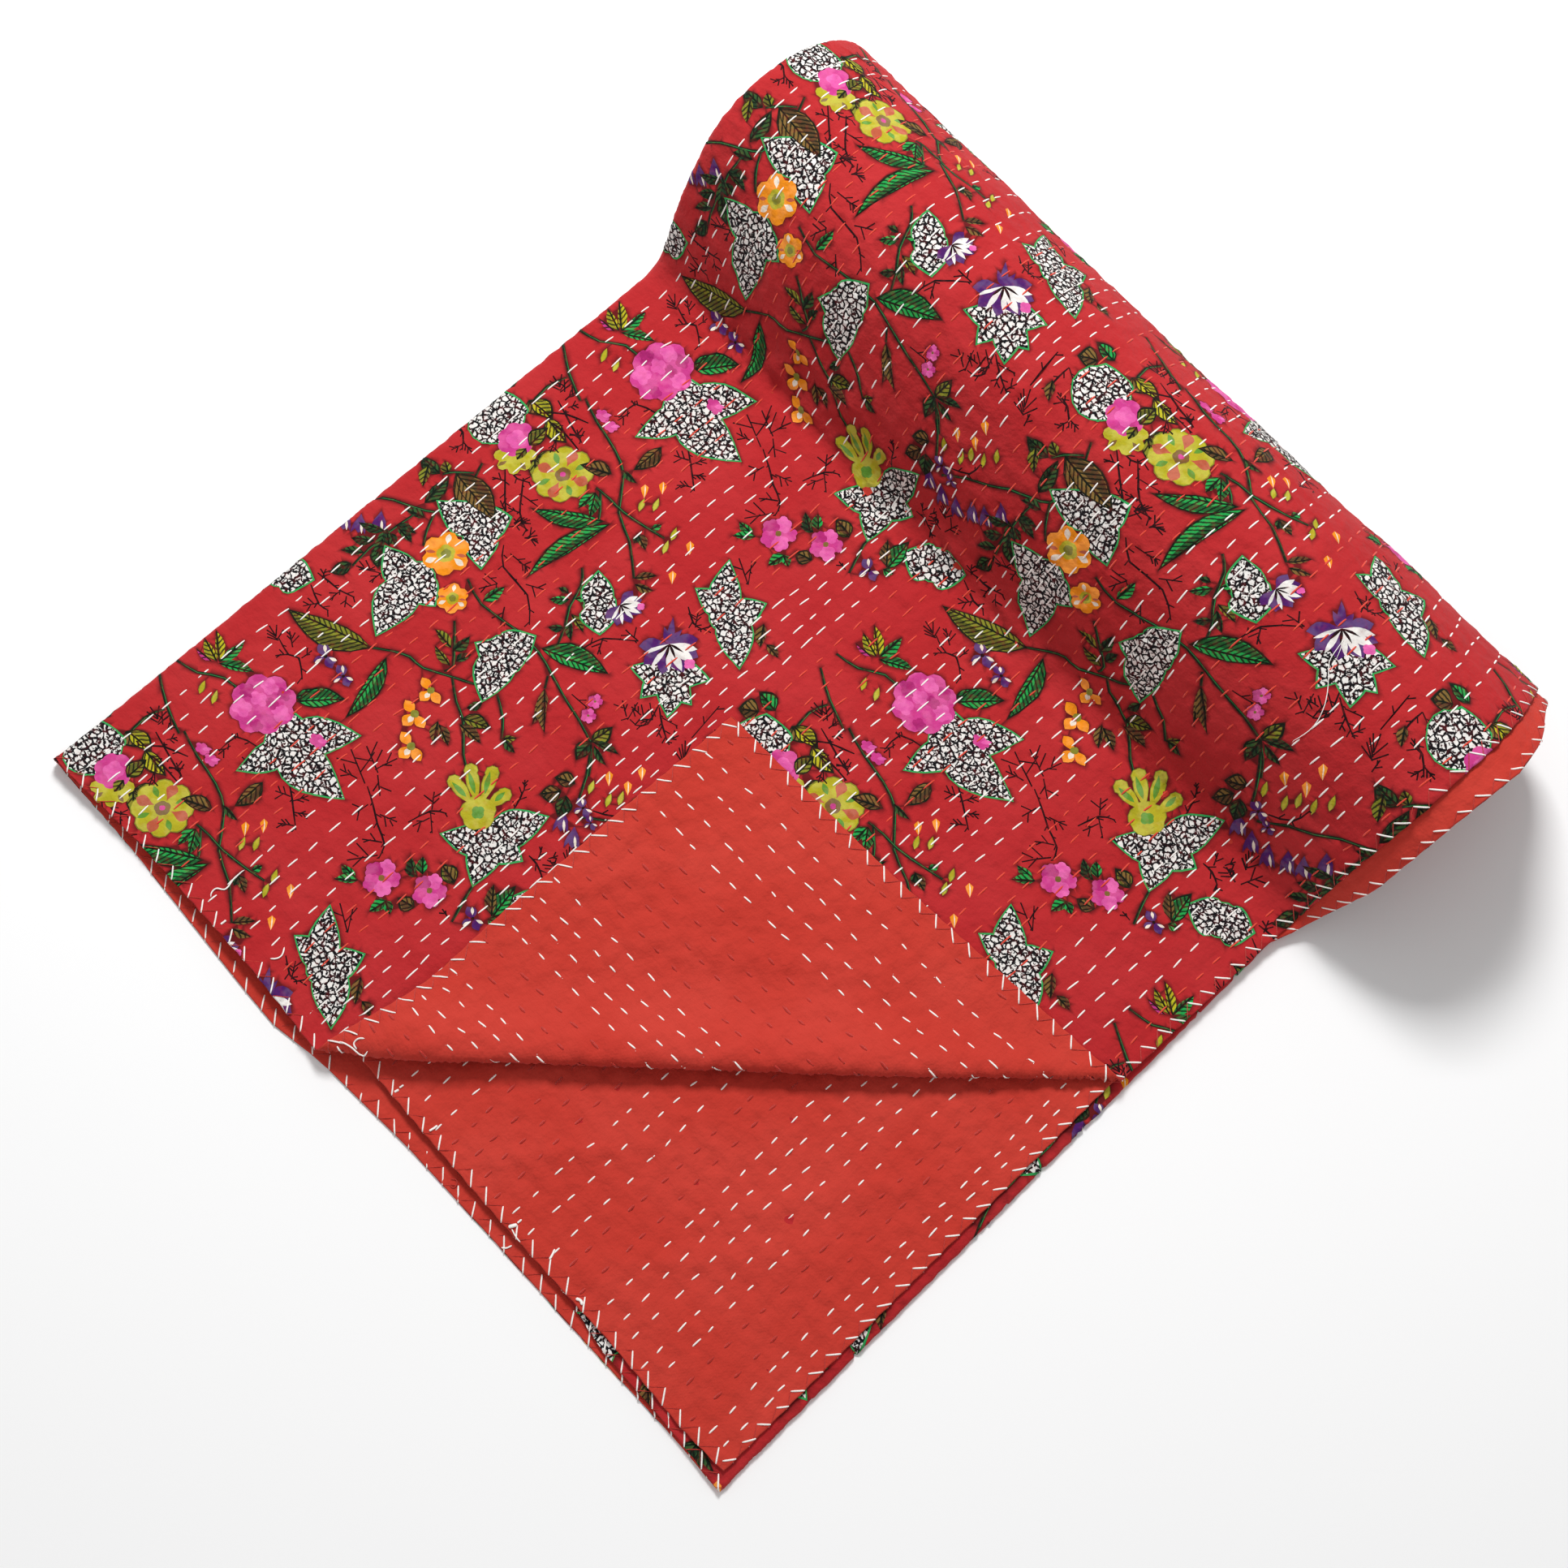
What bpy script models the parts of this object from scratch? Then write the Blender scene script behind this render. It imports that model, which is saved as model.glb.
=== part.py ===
"""Kantha quilt: a two-faced hand-stitched cotton quilt, folded in four lengthwise and rolled.

The cloth is one sheet. Across the strip it runs as a book fold: the top layer goes from its hem
at the right to the outer fold at the left, the bottom layer back to the fold at the right, the
third layer to the inner fold at the left and the second layer back to its hem at the right.
Along the strip the four layers lie flat at the near end, rise in a soft valley, and go over the
top of the roll and down behind it. What lies inside that turn is the roll's wound form, with
its turns stepped at both ends. The near right corner of the top layer is turned back.

X runs across the strip to the right, Y along it away from the near end, Z up. Metres.
"""

import math

import bpy
import bmesh
import numpy as np
from mathutils import Vector
from mathutils.geometry import delaunay_2d_cdt

# The cloth and its stack of four layers.
CLOTH = 0.0016
PITCH = 0.0021
STACK = CLOTH + 3 * PITCH

# Across the strip: the outer folds, and where the layers' straight runs begin.
LEFT_CREST = -0.306
RIGHT_CREST = 0.2625
OUTER_FOLD = 1.5 * PITCH
INNER_FOLD = 0.5 * PITCH
LEFT_X = LEFT_CREST + CLOTH / 2 + OUTER_FOLD
RIGHT_X = RIGHT_CREST - CLOTH / 2 - INNER_FOLD

# Depth of each layer's middle below the top of the stack.
LAYERS = ("top", "second", "third", "bottom")
DEPTH = {layer: CLOTH / 2 + place * PITCH for place, layer in enumerate(LAYERS)}

# Points to each span of a smooth curve.
CURVE_STEPS = 24

# Height curve of the stack's upper side along the strip, as control points of a smooth curve.
# columns: along at the left side, along at the right side, height
PATH = (
    (-0.420, -0.420, STACK),
    (-0.360, -0.360, STACK),
    (-0.300, -0.300, STACK),
    (-0.220, -0.220, STACK),
    (-0.140, -0.140, STACK),
    (-0.060, -0.060, STACK),
    (0.020, 0.019, STACK),
    (0.090, 0.074, STACK),
    (0.140, 0.115, STACK),
    (0.168, 0.140, STACK),
    (0.183, 0.154, 0.011),
    (0.191, 0.161, 0.029),
    (0.199, 0.169, 0.050),
    (0.210, 0.180, 0.069),
    (0.223, 0.193, 0.088),
    (0.239, 0.209, 0.104),
    (0.259, 0.229, 0.1125),
    (0.281, 0.251, 0.115),
    (0.304, 0.274, 0.112),
    (0.326, 0.296, 0.102),
    (0.346, 0.316, 0.086),
    (0.361, 0.331, 0.065),
    (0.367, 0.337, 0.042),
    (0.361, 0.331, 0.018),
    (0.346, 0.316, 0.002),
    (0.327, 0.297, 0.0),
    (0.305, 0.275, 0.0),
    (0.285, 0.255, 0.0),
    (0.265, 0.235, 0.0),
    (0.245, 0.215, 0.0),
)
NEAR_ALONG = -0.300
END_ALONG = (0.279, 0.249)

# The middle of the finished quilt's outline in plan, which is moved to the origin.
MIDDLE = (-0.0042, 0.0298)

# Near edges of the layers: how far along each one starts.
# columns: across, top, second, third, bottom
NEAR_EDGES = (
    (-0.306, -0.2988, -0.2830, -0.2830, -0.2988),
    (-0.230, -0.2952, -0.2835, -0.2815, -0.3005),
    (-0.130, -0.2964, -0.2840, -0.2805, -0.3065),
    (-0.095, -0.2985, -0.2842, -0.2810, -0.3080),
    (-0.062, -0.3010, -0.2845, -0.2820, -0.3025),
    (0.010, -0.3010, -0.2877, -0.2840, -0.2990),
    (0.080, -0.3000, -0.2896, -0.2870, -0.2990),
    (0.133, -0.2990, -0.2900, -0.2905, -0.2994),
    (0.165, -0.2990, -0.2900, -0.2960, -0.2996),
    (0.225, -0.2980, -0.2930, -0.2976, -0.2990),
    (0.262, -0.2980, -0.2919, -0.3006, -0.3006),
)
EDGE_FADE = 0.30
EDGE_LIFT = {"top": 0.0026, "second": 0.0014, "third": 0.0006, "bottom": 0.0}
LIFT_REACH = 0.022

# The turn over the roll is uneven by this much, between these lengths along the strip.
DENT = 0.0012
DENTS_FROM, DENTS_TO, DENTS_FADE = 0.50, 0.80, 0.08

# Right hems of the top and second layers, by length along the path from the near end.
# columns: path length, top layer's hem, second layer's hem
RIGHT_HEMS = (
    (0.00, 0.2595, 0.2570),
    (0.30, 0.2590, 0.2560),
    (0.44, 0.2625, 0.2610),
    (0.47, 0.2650, 0.2720),
    (0.52, 0.2715, 0.2860),
    (0.58, 0.2800, 0.2930),
    (0.63, 0.2835, 0.2985),
    (0.66, 0.2820, 0.2950),
    (0.69, 0.2770, 0.2840),
    (0.74, 0.2720, 0.2780),
    (0.90, 0.2690, 0.2720),
)

# The turned-back corner: its fold line on the top layer, and the soft bulge of the fold.
FOLD_START = (-0.0641, -0.2970)
FOLD_ANGLE = math.radians(43.9)
FOLD_LENGTH = 0.446
SLIDE = 0.06
BULGE_RUN = 0.028
BULGE_LEAST = 0.30
BULGE_START, BULGE_START_FADE = -0.015, 0.085
BULGE_END, BULGE_END_FADE = 0.012, 0.16
SHOULDER, SHOULDER_AT, SHOULDER_REACH = 0.30, 0.050, 0.032
SETTLE = 0.030
# columns: out from the fold line, height above the layer
BULGE = (
    (-0.046, 0.0000),
    (-0.037, 0.0000),
    (-0.028, 0.0000),
    (-0.019, 0.0003),
    (-0.009, 0.0014),
    (0.0005, 0.0032),
    (0.0055, 0.0060),
    (0.0065, 0.0100),
    (0.0010, 0.0124),
    (-0.0070, 0.0110),
    (-0.0160, 0.0072),
    (-0.0260, 0.0032),
    (-0.0360, 0.0008),
    (-0.0460, 0.0000),
    (-0.0560, 0.0000),
    (-0.0660, 0.0000),
    (-0.0760, 0.0000),
)

# Mesh steps. The columns are the same in all layers up to the last one, which is the layer's edge.
ACROSS_STEPS = 7
OUTER_FOLD_STEPS = 5
INNER_FOLD_STEPS = 3
LAST_COMMON_X = 0.249
EDGE_ROWS = (0.0, 0.010, 0.024)
FLAT_START = 0.048
FLAT_END = 0.425
TURNED_END = 0.40
FLAT_STEP = 0.046
ROLL_STEP = 0.018
FOLD_CUTS = (-0.028, -0.016, -0.006, 0.001, 0.006, 0.011, 0.017, 0.025, 0.036, 0.050)
FOLD_LINE_STEPS = 11
LINE_MARGIN = 0.08
LINE_SAMPLES = 400
CUT_CLEARANCE = 0.012

# The roll's wound form inside the outer turn.
CORE_START = 0.570
CORE_INSET = 0.002
CORE_FLOOR = 0.0003
# Its own near side, down from where it leaves the outer turn: columns: along, height
CORE_SIDE = (
    (0.2365, 0.0850),
    (0.2270, 0.0690),
    (0.2210, 0.0520),
    (0.2195, 0.0340),
    (0.2240, 0.0170),
    (0.2350, 0.0045),
    (0.2500, CORE_FLOOR),
    (0.2650, CORE_FLOOR),
)
SKEW = END_ALONG[1] - END_ALONG[0]
TAIL_OVERLAP = 0.005
TAIL_SLANT = 0.003
# Its turns at the ends: columns: size against the whole, step at the left, step at the right
TURNS = (
    (0.84, 0.0000, 0.0000),
    (0.80, 0.0035, -0.0030),
    (0.64, 0.0035, -0.0030),
    (0.60, -0.0010, 0.0030),
    (0.44, -0.0010, 0.0030),
    (0.39, 0.0040, -0.0020),
    (0.22, 0.0040, -0.0020),
)


def clear_scene():
    """Remove everything that is in the file."""
    for thing in list(bpy.data.objects):
        bpy.data.objects.remove(thing)


def quilt_cloth():
    """Coral-red cotton, dull and slightly rough."""
    cloth = bpy.data.materials.new("quilt_cotton")
    cloth.use_nodes = True
    shader = cloth.node_tree.nodes["Principled BSDF"]
    shader.inputs["Base Color"].default_value = (0.56, 0.045, 0.035, 1.0)
    shader.inputs["Roughness"].default_value = 0.85
    shader.inputs["Metallic"].default_value = 0.0
    return cloth


def smooth_curve(points):
    """Points along the uniform cubic B-spline of a control polygon, columns as given."""
    control = np.asarray(points, dtype=float)
    t = np.linspace(0.0, 1.0, CURVE_STEPS, endpoint=False)[:, None]
    weights = (
        (1 - t) ** 3 / 6,
        (3 * t ** 3 - 6 * t ** 2 + 4) / 6,
        (-3 * t ** 3 + 3 * t ** 2 + 3 * t + 1) / 6,
        t ** 3 / 6,
    )
    spans = [
        sum(weight * control[first + place] for place, weight in enumerate(weights))
        for first in range(len(control) - 3)
    ]
    return np.concatenate(spans)


def lengths_along(curve):
    """Running length of a polyline."""
    steps = np.linalg.norm(np.diff(curve, axis=0), axis=1)
    return np.concatenate(([0.0], np.cumsum(steps)))


def smoothstep(value):
    """0 below 0, 1 above 1 and a soft rise between."""
    held = np.clip(value, 0.0, 1.0)
    return held * held * (3 - 2 * held)


class Path:
    """The stack's upper side: where a length along the strip lies, and which way is out."""

    def __init__(self):
        curve = smooth_curve(PATH)
        middle = np.column_stack(((curve[:, 0] + curve[:, 1]) / 2, curve[:, 2]))
        run = lengths_along(middle)
        furthest = middle[:, 0].argmax()
        self.curve = curve
        self.run = run - np.interp(NEAR_ALONG, middle[:furthest, 0], run[:furthest])
        self.slope = np.gradient(curve, self.run, axis=0)
        under = run > run[furthest]
        self.end = self.run[under & (middle[:, 0] < sum(END_ALONG) / 2)][0]

    def at(self, length, share):
        """Along and height, and the outward direction, at a share of the way across."""
        left, right, height = (np.interp(length, self.run, self.curve[:, c]) for c in range(3))
        d_left, d_right, d_height = (
            np.interp(length, self.run, self.slope[:, c]) for c in range(3)
        )
        along = left + (right - left) * share
        d_along = d_left + (d_right - d_left) * share
        size = np.hypot(d_along, d_height)
        return along, height, -d_height / size, d_along / size


PATHWAY = Path()


def share_across(x):
    """0 at the left side of the strip and 1 at the right."""
    return (x - LEFT_X) / (RIGHT_X - LEFT_X)


def dents(x, length):
    """Soft unevenness of the turn that goes over the roll, outwards."""
    start = smoothstep((length - DENTS_FROM) / DENTS_FADE)
    end = smoothstep((DENTS_TO - length) / DENTS_FADE)
    wave = np.sin(21 * x + 14 * length + 0.6) * np.cos(33 * x - 26 * length)
    return DENT * wave * start * end


def on_strip(x, length, depth, lift):
    """Position of a point of the cloth at a depth below the stack's upper side."""
    along, height, out_y, out_z = PATHWAY.at(length, share_across(x))
    out = dents(x, length) + lift - depth
    return np.stack((x, along + out_y * out, height + out_z * out), axis=-1)


def near_shift(x, layer, length):
    """Moves a layer's near edge to its own place, fading out along the strip."""
    table = np.asarray(NEAR_EDGES)
    edge = np.interp(x, table[:, 0], table[:, LAYERS.index(layer) + 1]) - NEAR_ALONG
    return edge * np.clip(1 - length / EDGE_FADE, 0.0, 1.0)


def near_lift(x, layer, length):
    """A layer's near edge stands off the one below it, unevenly."""
    uneven = 0.75 + 0.25 * np.sin(41 * x + 1.0)
    return EDGE_LIFT[layer] * uneven * np.exp(-length / LIFT_REACH)


def right_hem(layer, length):
    """How far to the right the top or second layer reaches."""
    table = np.asarray(RIGHT_HEMS)
    return np.interp(length, table[:, 0], table[:, 1 if layer == "top" else 2])


def fold_frame(x, along):
    """Place along the fold line, and distance out from it towards the corner."""
    across = x - FOLD_START[0]
    away = along - FOLD_START[1]
    way = across * math.cos(FOLD_ANGLE) + away * math.sin(FOLD_ANGLE)
    out = across * math.sin(FOLD_ANGLE) - away * math.cos(FOLD_ANGLE)
    return way, out


def bulge_size(way):
    """The fold is pressed flat at both ends, fullest near its start and soft between them."""
    start = smoothstep((way - BULGE_START) / BULGE_START_FADE)
    end = smoothstep((FOLD_LENGTH + BULGE_END - way) / BULGE_END_FADE)
    shoulder = np.exp(-(((way - SHOULDER_AT) / SHOULDER_REACH) ** 2))
    return BULGE_LEAST + (1 - BULGE_LEAST) * start * end + SHOULDER * shoulder


BULGE_CURVE = smooth_curve(BULGE)
BULGE_LENGTH = lengths_along(BULGE_CURVE)
BULGE_CREST = BULGE_CURVE[:, 0].argmax()
BULGE_FROM = np.interp(-BULGE_RUN, BULGE_CURVE[:BULGE_CREST, 0], BULGE_LENGTH[:BULGE_CREST])


def turn_back(points):
    """Turns the top layer's near right corner over its fold line, printed side down."""
    way, out = fold_frame(points[:, 0], points[:, 1])
    size = bulge_size(way)
    run = out + BULGE_RUN * size
    turned = run > 0
    on_curve = run / size + BULGE_FROM
    new_out = np.interp(on_curve, BULGE_LENGTH, BULGE_CURVE[:, 0]) * size
    new_out -= np.clip(on_curve - BULGE_LENGTH[-1], 0, None) * size
    rise = np.interp(on_curve, BULGE_LENGTH, BULGE_CURVE[:, 1]) * size
    rise += PITCH * smoothstep((run / size - SETTLE) / SETTLE)
    way = way + SLIDE * np.minimum(new_out, 0)
    moved = points.copy()
    moved[:, 0] = FOLD_START[0] + way * math.cos(FOLD_ANGLE) + new_out * math.sin(FOLD_ANGLE)
    moved[:, 1] = FOLD_START[1] + way * math.sin(FOLD_ANGLE) - new_out * math.cos(FOLD_ANGLE)
    moved[:, 2] = points[:, 2] + rise
    return np.where(turned[:, None], moved, points)


def stations():
    """Lengths along the strip where the mesh has a row: wide apart on the flat, close on the roll."""
    flat_count = round((FLAT_END - FLAT_START) / FLAT_STEP)
    flat = np.linspace(FLAT_START, FLAT_END, flat_count + 1)
    roll_count = round((PATHWAY.end - FLAT_END) / ROLL_STEP)
    roll = np.linspace(FLAT_END, PATHWAY.end, roll_count + 1)[1:]
    return np.concatenate((EDGE_ROWS, flat, roll))


def columns_and_rows(layer, lengths):
    """Across and length of a layer's mesh points, rows along the strip, columns to the right."""
    common = np.linspace(LEFT_X, LAST_COMMON_X, ACROSS_STEPS + 1)
    run, x = np.meshgrid(lengths, np.append(common, RIGHT_X), indexing="ij")
    if layer in ("top", "second"):
        x[:, -1] = right_hem(layer, lengths)
    return x, run


def layer_place(layer, x, run):
    """Where a point of one layer lies, before the top layer's corner is turned."""
    length = run + near_shift(x, layer, run)
    return on_strip(x, length, DEPTH[layer], near_lift(x, layer, run))


def layer_rows(layer, lengths):
    """Grid of points of one layer."""
    return layer_place(layer, *columns_and_rows(layer, lengths))


def fold_rows(first, last, lengths):
    """Grid of points round the fold from one layer to another, without the layers' own columns."""
    radius = abs(DEPTH[last] - DEPTH[first]) / 2
    steps = OUTER_FOLD_STEPS if first == "top" else INNER_FOLD_STEPS
    centre, side = (RIGHT_X, 1) if first == "bottom" else (LEFT_X, -1)
    angles = np.linspace(0, math.pi, steps + 1)[1:-1]
    run, angle = np.meshgrid(lengths, angles, indexing="ij")
    x = centre + side * radius * np.sin(angle)
    blend = (1 - np.cos(angle)) / 2

    def between(of_first, of_last):
        return of_first + (of_last - of_first) * blend

    depth = between(DEPTH[first], DEPTH[last])
    shift = between(near_shift(x, first, run), near_shift(x, last, run))
    lift = between(near_lift(x, first, run), near_lift(x, last, run))
    return on_strip(x, run + shift, depth, lift)


def add_grid(mesh, rows):
    """Triangles between a grid's points, split the same way in plan whichever way a layer runs."""
    verts = [[mesh.verts.new(point) for point in row] for row in rows]
    for low, high in zip(verts, verts[1:]):
        for side in range(len(low) - 1):
            first, last = (side, side + 1) if low[side].co.x < low[side + 1].co.x else (side + 1, side)
            mesh.faces.new((low[first], low[last], high[last]))
            mesh.faces.new((low[first], high[last], high[first]))


def fold_line(cut):
    """A line beside the fold, from the near edge to the right hem, on the flat top layer."""
    way = np.linspace(-LINE_MARGIN, FOLD_LENGTH + LINE_MARGIN, LINE_SAMPLES)
    out = cut * bulge_size(way)
    x = FOLD_START[0] + way * math.cos(FOLD_ANGLE) + out * math.sin(FOLD_ANGLE)
    along = FOLD_START[1] + way * math.sin(FOLD_ANGLE) - out * math.cos(FOLD_ANGLE)
    start = np.interp(NEAR_ALONG, along, way)
    end = np.interp(0.0, x - right_hem("top", along - NEAR_ALONG), way)
    spread = np.linspace(start, end, FOLD_LINE_STEPS + 1)
    return np.column_stack((np.interp(spread, way, x), np.interp(spread, way, along)))


def turned_part(mesh, lengths):
    """The flat near part of the top layer, with mesh lines laid beside the corner's fold."""
    x, run = columns_and_rows("top", lengths)
    plan = np.stack((x, run + NEAR_ALONG), axis=-1)
    lines = [fold_line(cut) for cut in FOLD_CUTS]
    way, out = fold_frame(plan[..., 0], plan[..., 1])
    clear = (out < min(FOLD_CUTS) - CUT_CLEARANCE) | (out > max(FOLD_CUTS) + CUT_CLEARANCE)

    near_x = list(plan[0, :, 0][clear[0]]) + [line[0, 0] for line in lines]
    hem = list(plan[1:, -1, 1][clear[1:, -1]]) + [line[-1, 1] for line in lines]
    outline = [(across, NEAR_ALONG) for across in sorted(near_x)]
    outline += [(right_hem("top", along - NEAR_ALONG), along) for along in sorted(hem)]
    outline += [tuple(spot) for spot in plan[-1, -2::-1]]
    outline += [tuple(spot) for spot in plan[-2:0:-1, 0]]

    points = [Vector(point) for point in outline]
    edges = [(place, (place + 1) % len(points)) for place in range(len(points))]
    for line in lines:
        start, end = (
            min(range(len(outline)), key=lambda place: math.dist(outline[place], line[tip]))
            for tip in (0, -1)
        )
        chain = [start, *range(len(points), len(points) + len(line) - 2), end]
        points += [Vector(spot) for spot in line[1:-1]]
        edges += list(zip(chain, chain[1:]))
    points += [Vector(spot) for spot in plan[1:-1, 1:-1][clear[1:-1, 1:-1]]]
    flat, _, faces, _, _, _ = delaunay_2d_cdt(points, edges, [], 1, 1e-7)
    flat = np.array([tuple(point) for point in flat])
    placed = turn_back(layer_place("top", flat[:, 0], flat[:, 1] - NEAR_ALONG))
    verts = [mesh.verts.new(point) for point in placed]
    for face in faces:
        mesh.faces.new([verts[corner] for corner in face])


def finished_mesh(mesh, name):
    """Turns a bmesh into a named mesh and frees it."""
    data = bpy.data.meshes.new(name)
    mesh.to_mesh(data)
    mesh.free()
    return data


def cloth_sheet():
    """The whole visible length of cloth as a sheet through the middle of its thickness."""
    lengths = stations()
    mesh = bmesh.new()
    turned_part(mesh, lengths[lengths < TURNED_END])
    beyond = np.flatnonzero(lengths < TURNED_END)[-1]
    add_grid(mesh, layer_rows("top", lengths[beyond:]))
    across = (
        layer_rows("top", lengths)[:, :1],
        fold_rows("top", "bottom", lengths),
        layer_rows("bottom", lengths),
        fold_rows("bottom", "third", lengths),
        layer_rows("third", lengths)[:, ::-1],
        fold_rows("third", "second", lengths),
        layer_rows("second", lengths),
    )
    add_grid(mesh, np.concatenate(across, axis=1))
    bmesh.ops.remove_doubles(mesh, verts=mesh.verts, dist=1e-6)
    bmesh.ops.recalc_face_normals(mesh, faces=mesh.faces)
    return finished_mesh(mesh, "quilt")


def core_section(x):
    """Outline of the wound form at one place across: along and height, going round it."""
    lengths = stations()
    lengths = lengths[lengths > CORE_START]
    over = on_strip(np.full(len(lengths), x), lengths, DEPTH["bottom"], 0.0)[:, 1:]
    shift = SKEW * share_across(x)
    side = np.array([(along + shift, height) for along, height in CORE_SIDE])
    tail = over[-1]
    low = tail[0] + TAIL_OVERLAP
    step = np.array([(low, CORE_FLOOR), (low + TAIL_SLANT, tail[1])])
    return np.concatenate((side, step, over[-2::-1]))


def core_mesh():
    """The roll's wound form: sections across the strip, its turns stepped at both ends."""
    stops = columns_and_rows("bottom", [0.0])[0][0]
    stops[0] += CORE_INSET
    stops[-1] -= CORE_INSET
    sections = [(x, core_section(x)) for x in stops]

    def turn(x, outline, size, step):
        low, high = outline.min(axis=0), outline.max(axis=0)
        centre, half = (low + high) / 2, (high - low) / 2
        angle = np.arctan2(*((outline - centre) / half).T[::-1])
        round_form = np.column_stack((np.cos(angle), np.sin(angle)))
        return [(x + step, *point) for point in centre + half * size * round_form]

    left_x, left = sections[0]
    right_x, right = sections[-1]
    rings = [turn(left_x, left, size, left_step) for size, left_step, _ in reversed(TURNS)]
    rings += [[(x, *point) for point in outline] for x, outline in sections]
    rings += [turn(right_x, right, size, right_step) for size, _, right_step in TURNS]
    mesh = bmesh.new()
    loops = [[mesh.verts.new(point) for point in line] for line in rings]
    for low, high in zip(loops, loops[1:]):
        for place in range(len(low)):
            after = (place + 1) % len(low)
            mesh.faces.new((low[place], low[after], high[place]))
            mesh.faces.new((low[after], high[after], high[place]))
    mesh.faces.new(loops[0])
    mesh.faces.new(loops[-1])
    bmesh.ops.triangulate(mesh, faces=mesh.faces)
    bmesh.ops.recalc_face_normals(mesh, faces=mesh.faces)
    return finished_mesh(mesh, "roll_core")


def build():
    """The quilt as one solid."""
    clear_scene()
    collection = bpy.data.collections.new("kantha_quilt")
    cutters = bpy.data.collections.new("cutters")
    bpy.context.scene.collection.children.link(collection)
    bpy.context.scene.collection.children.link(cutters)

    core = bpy.data.objects.new("roll_core", core_mesh())
    core.location = (-MIDDLE[0], -MIDDLE[1], 0)
    core.hide_render = True
    core.display_type = "WIRE"
    cutters.objects.link(core)

    quilt = bpy.data.objects.new("quilt", cloth_sheet())
    quilt.location = core.location
    quilt.data.materials.append(quilt_cloth())
    collection.objects.link(quilt)
    body = quilt.modifiers.new("cloth", "SOLIDIFY")
    body.thickness = CLOTH
    body.offset = 0.0
    body.use_even_offset = True
    join = quilt.modifiers.new("roll", "BOOLEAN")
    join.operation = "UNION"
    join.solver = "EXACT"
    join.object = core
    return quilt


build()
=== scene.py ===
"""Looks of the kantha quilt: its printed and plain faces, its sewing and its wound roll.

The cloth is one sheet 2.26 m across. A place on it is given by w, the distance across the cloth
from the top layer's hem, and by run, the distance along it from the near end. Both faces, the
print, the stitches and the hems are laid on the quilt's folds from these two numbers.
"""

import math
from collections import namedtuple
from itertools import product

import bpy
import numpy as np
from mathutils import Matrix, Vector
from mathutils.geometry import delaunay_2d_cdt


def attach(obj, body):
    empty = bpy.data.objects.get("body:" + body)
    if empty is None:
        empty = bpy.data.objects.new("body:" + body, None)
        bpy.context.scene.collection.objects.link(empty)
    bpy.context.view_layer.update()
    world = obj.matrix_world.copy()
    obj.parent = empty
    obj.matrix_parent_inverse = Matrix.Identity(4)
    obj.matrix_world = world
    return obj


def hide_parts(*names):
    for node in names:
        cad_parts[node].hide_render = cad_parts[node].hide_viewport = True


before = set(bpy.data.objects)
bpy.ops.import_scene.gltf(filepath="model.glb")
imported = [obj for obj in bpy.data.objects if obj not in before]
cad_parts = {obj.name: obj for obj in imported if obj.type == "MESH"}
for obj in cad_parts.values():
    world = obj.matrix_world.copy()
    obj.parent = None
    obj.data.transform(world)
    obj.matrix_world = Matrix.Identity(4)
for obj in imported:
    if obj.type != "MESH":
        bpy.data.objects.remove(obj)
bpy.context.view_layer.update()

# ---- sizes of the folded quilt (metres)

CLOTH = 0.0016
PITCH = 0.0021
STACK = CLOTH + 3 * PITCH
FOUR_LAYERS = 4 * PITCH
LEFT_CREST = -0.306
RIGHT_CREST = 0.2625
OUTER_FOLD = 1.5 * PITCH
INNER_FOLD = 0.5 * PITCH
LEFT_X = LEFT_CREST + CLOTH / 2 + OUTER_FOLD
RIGHT_X = RIGHT_CREST - CLOTH / 2 - INNER_FOLD
LAYERS = ("top", "second", "third", "bottom")
DEPTH = {layer: CLOTH / 2 + place * PITCH for place, layer in enumerate(LAYERS)}
MIDDLE = (-0.0042, 0.0298)
CURVE_STEPS = 160

# Height curve of the stack's upper side: along at the left side, along at the right side, height.
PATH = (
    (-0.42, -0.42, STACK), (-0.36, -0.36, STACK), (-0.3, -0.3, STACK), (-0.22, -0.22, STACK),
    (-0.14, -0.14, STACK), (-0.06, -0.06, STACK), (0.02, 0.019, STACK), (0.09, 0.074, STACK),
    (0.14, 0.115, STACK), (0.168, 0.14, STACK), (0.183, 0.154, 0.011), (0.191, 0.161, 0.029),
    (0.199, 0.169, 0.05), (0.21, 0.18, 0.069), (0.223, 0.193, 0.088), (0.239, 0.209, 0.104),
    (0.259, 0.229, 0.1125), (0.281, 0.251, 0.115), (0.304, 0.274, 0.112), (0.326, 0.296, 0.102),
    (0.346, 0.316, 0.086), (0.361, 0.331, 0.065), (0.367, 0.337, 0.042), (0.361, 0.331, 0.018),
    (0.346, 0.316, 0.002), (0.327, 0.297, 0.0), (0.305, 0.275, 0.0), (0.285, 0.255, 0.0),
    (0.265, 0.235, 0.0), (0.245, 0.215, 0.0),
)
NEAR_ALONG = -0.300
END_ALONG = (0.279, 0.249)

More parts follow.
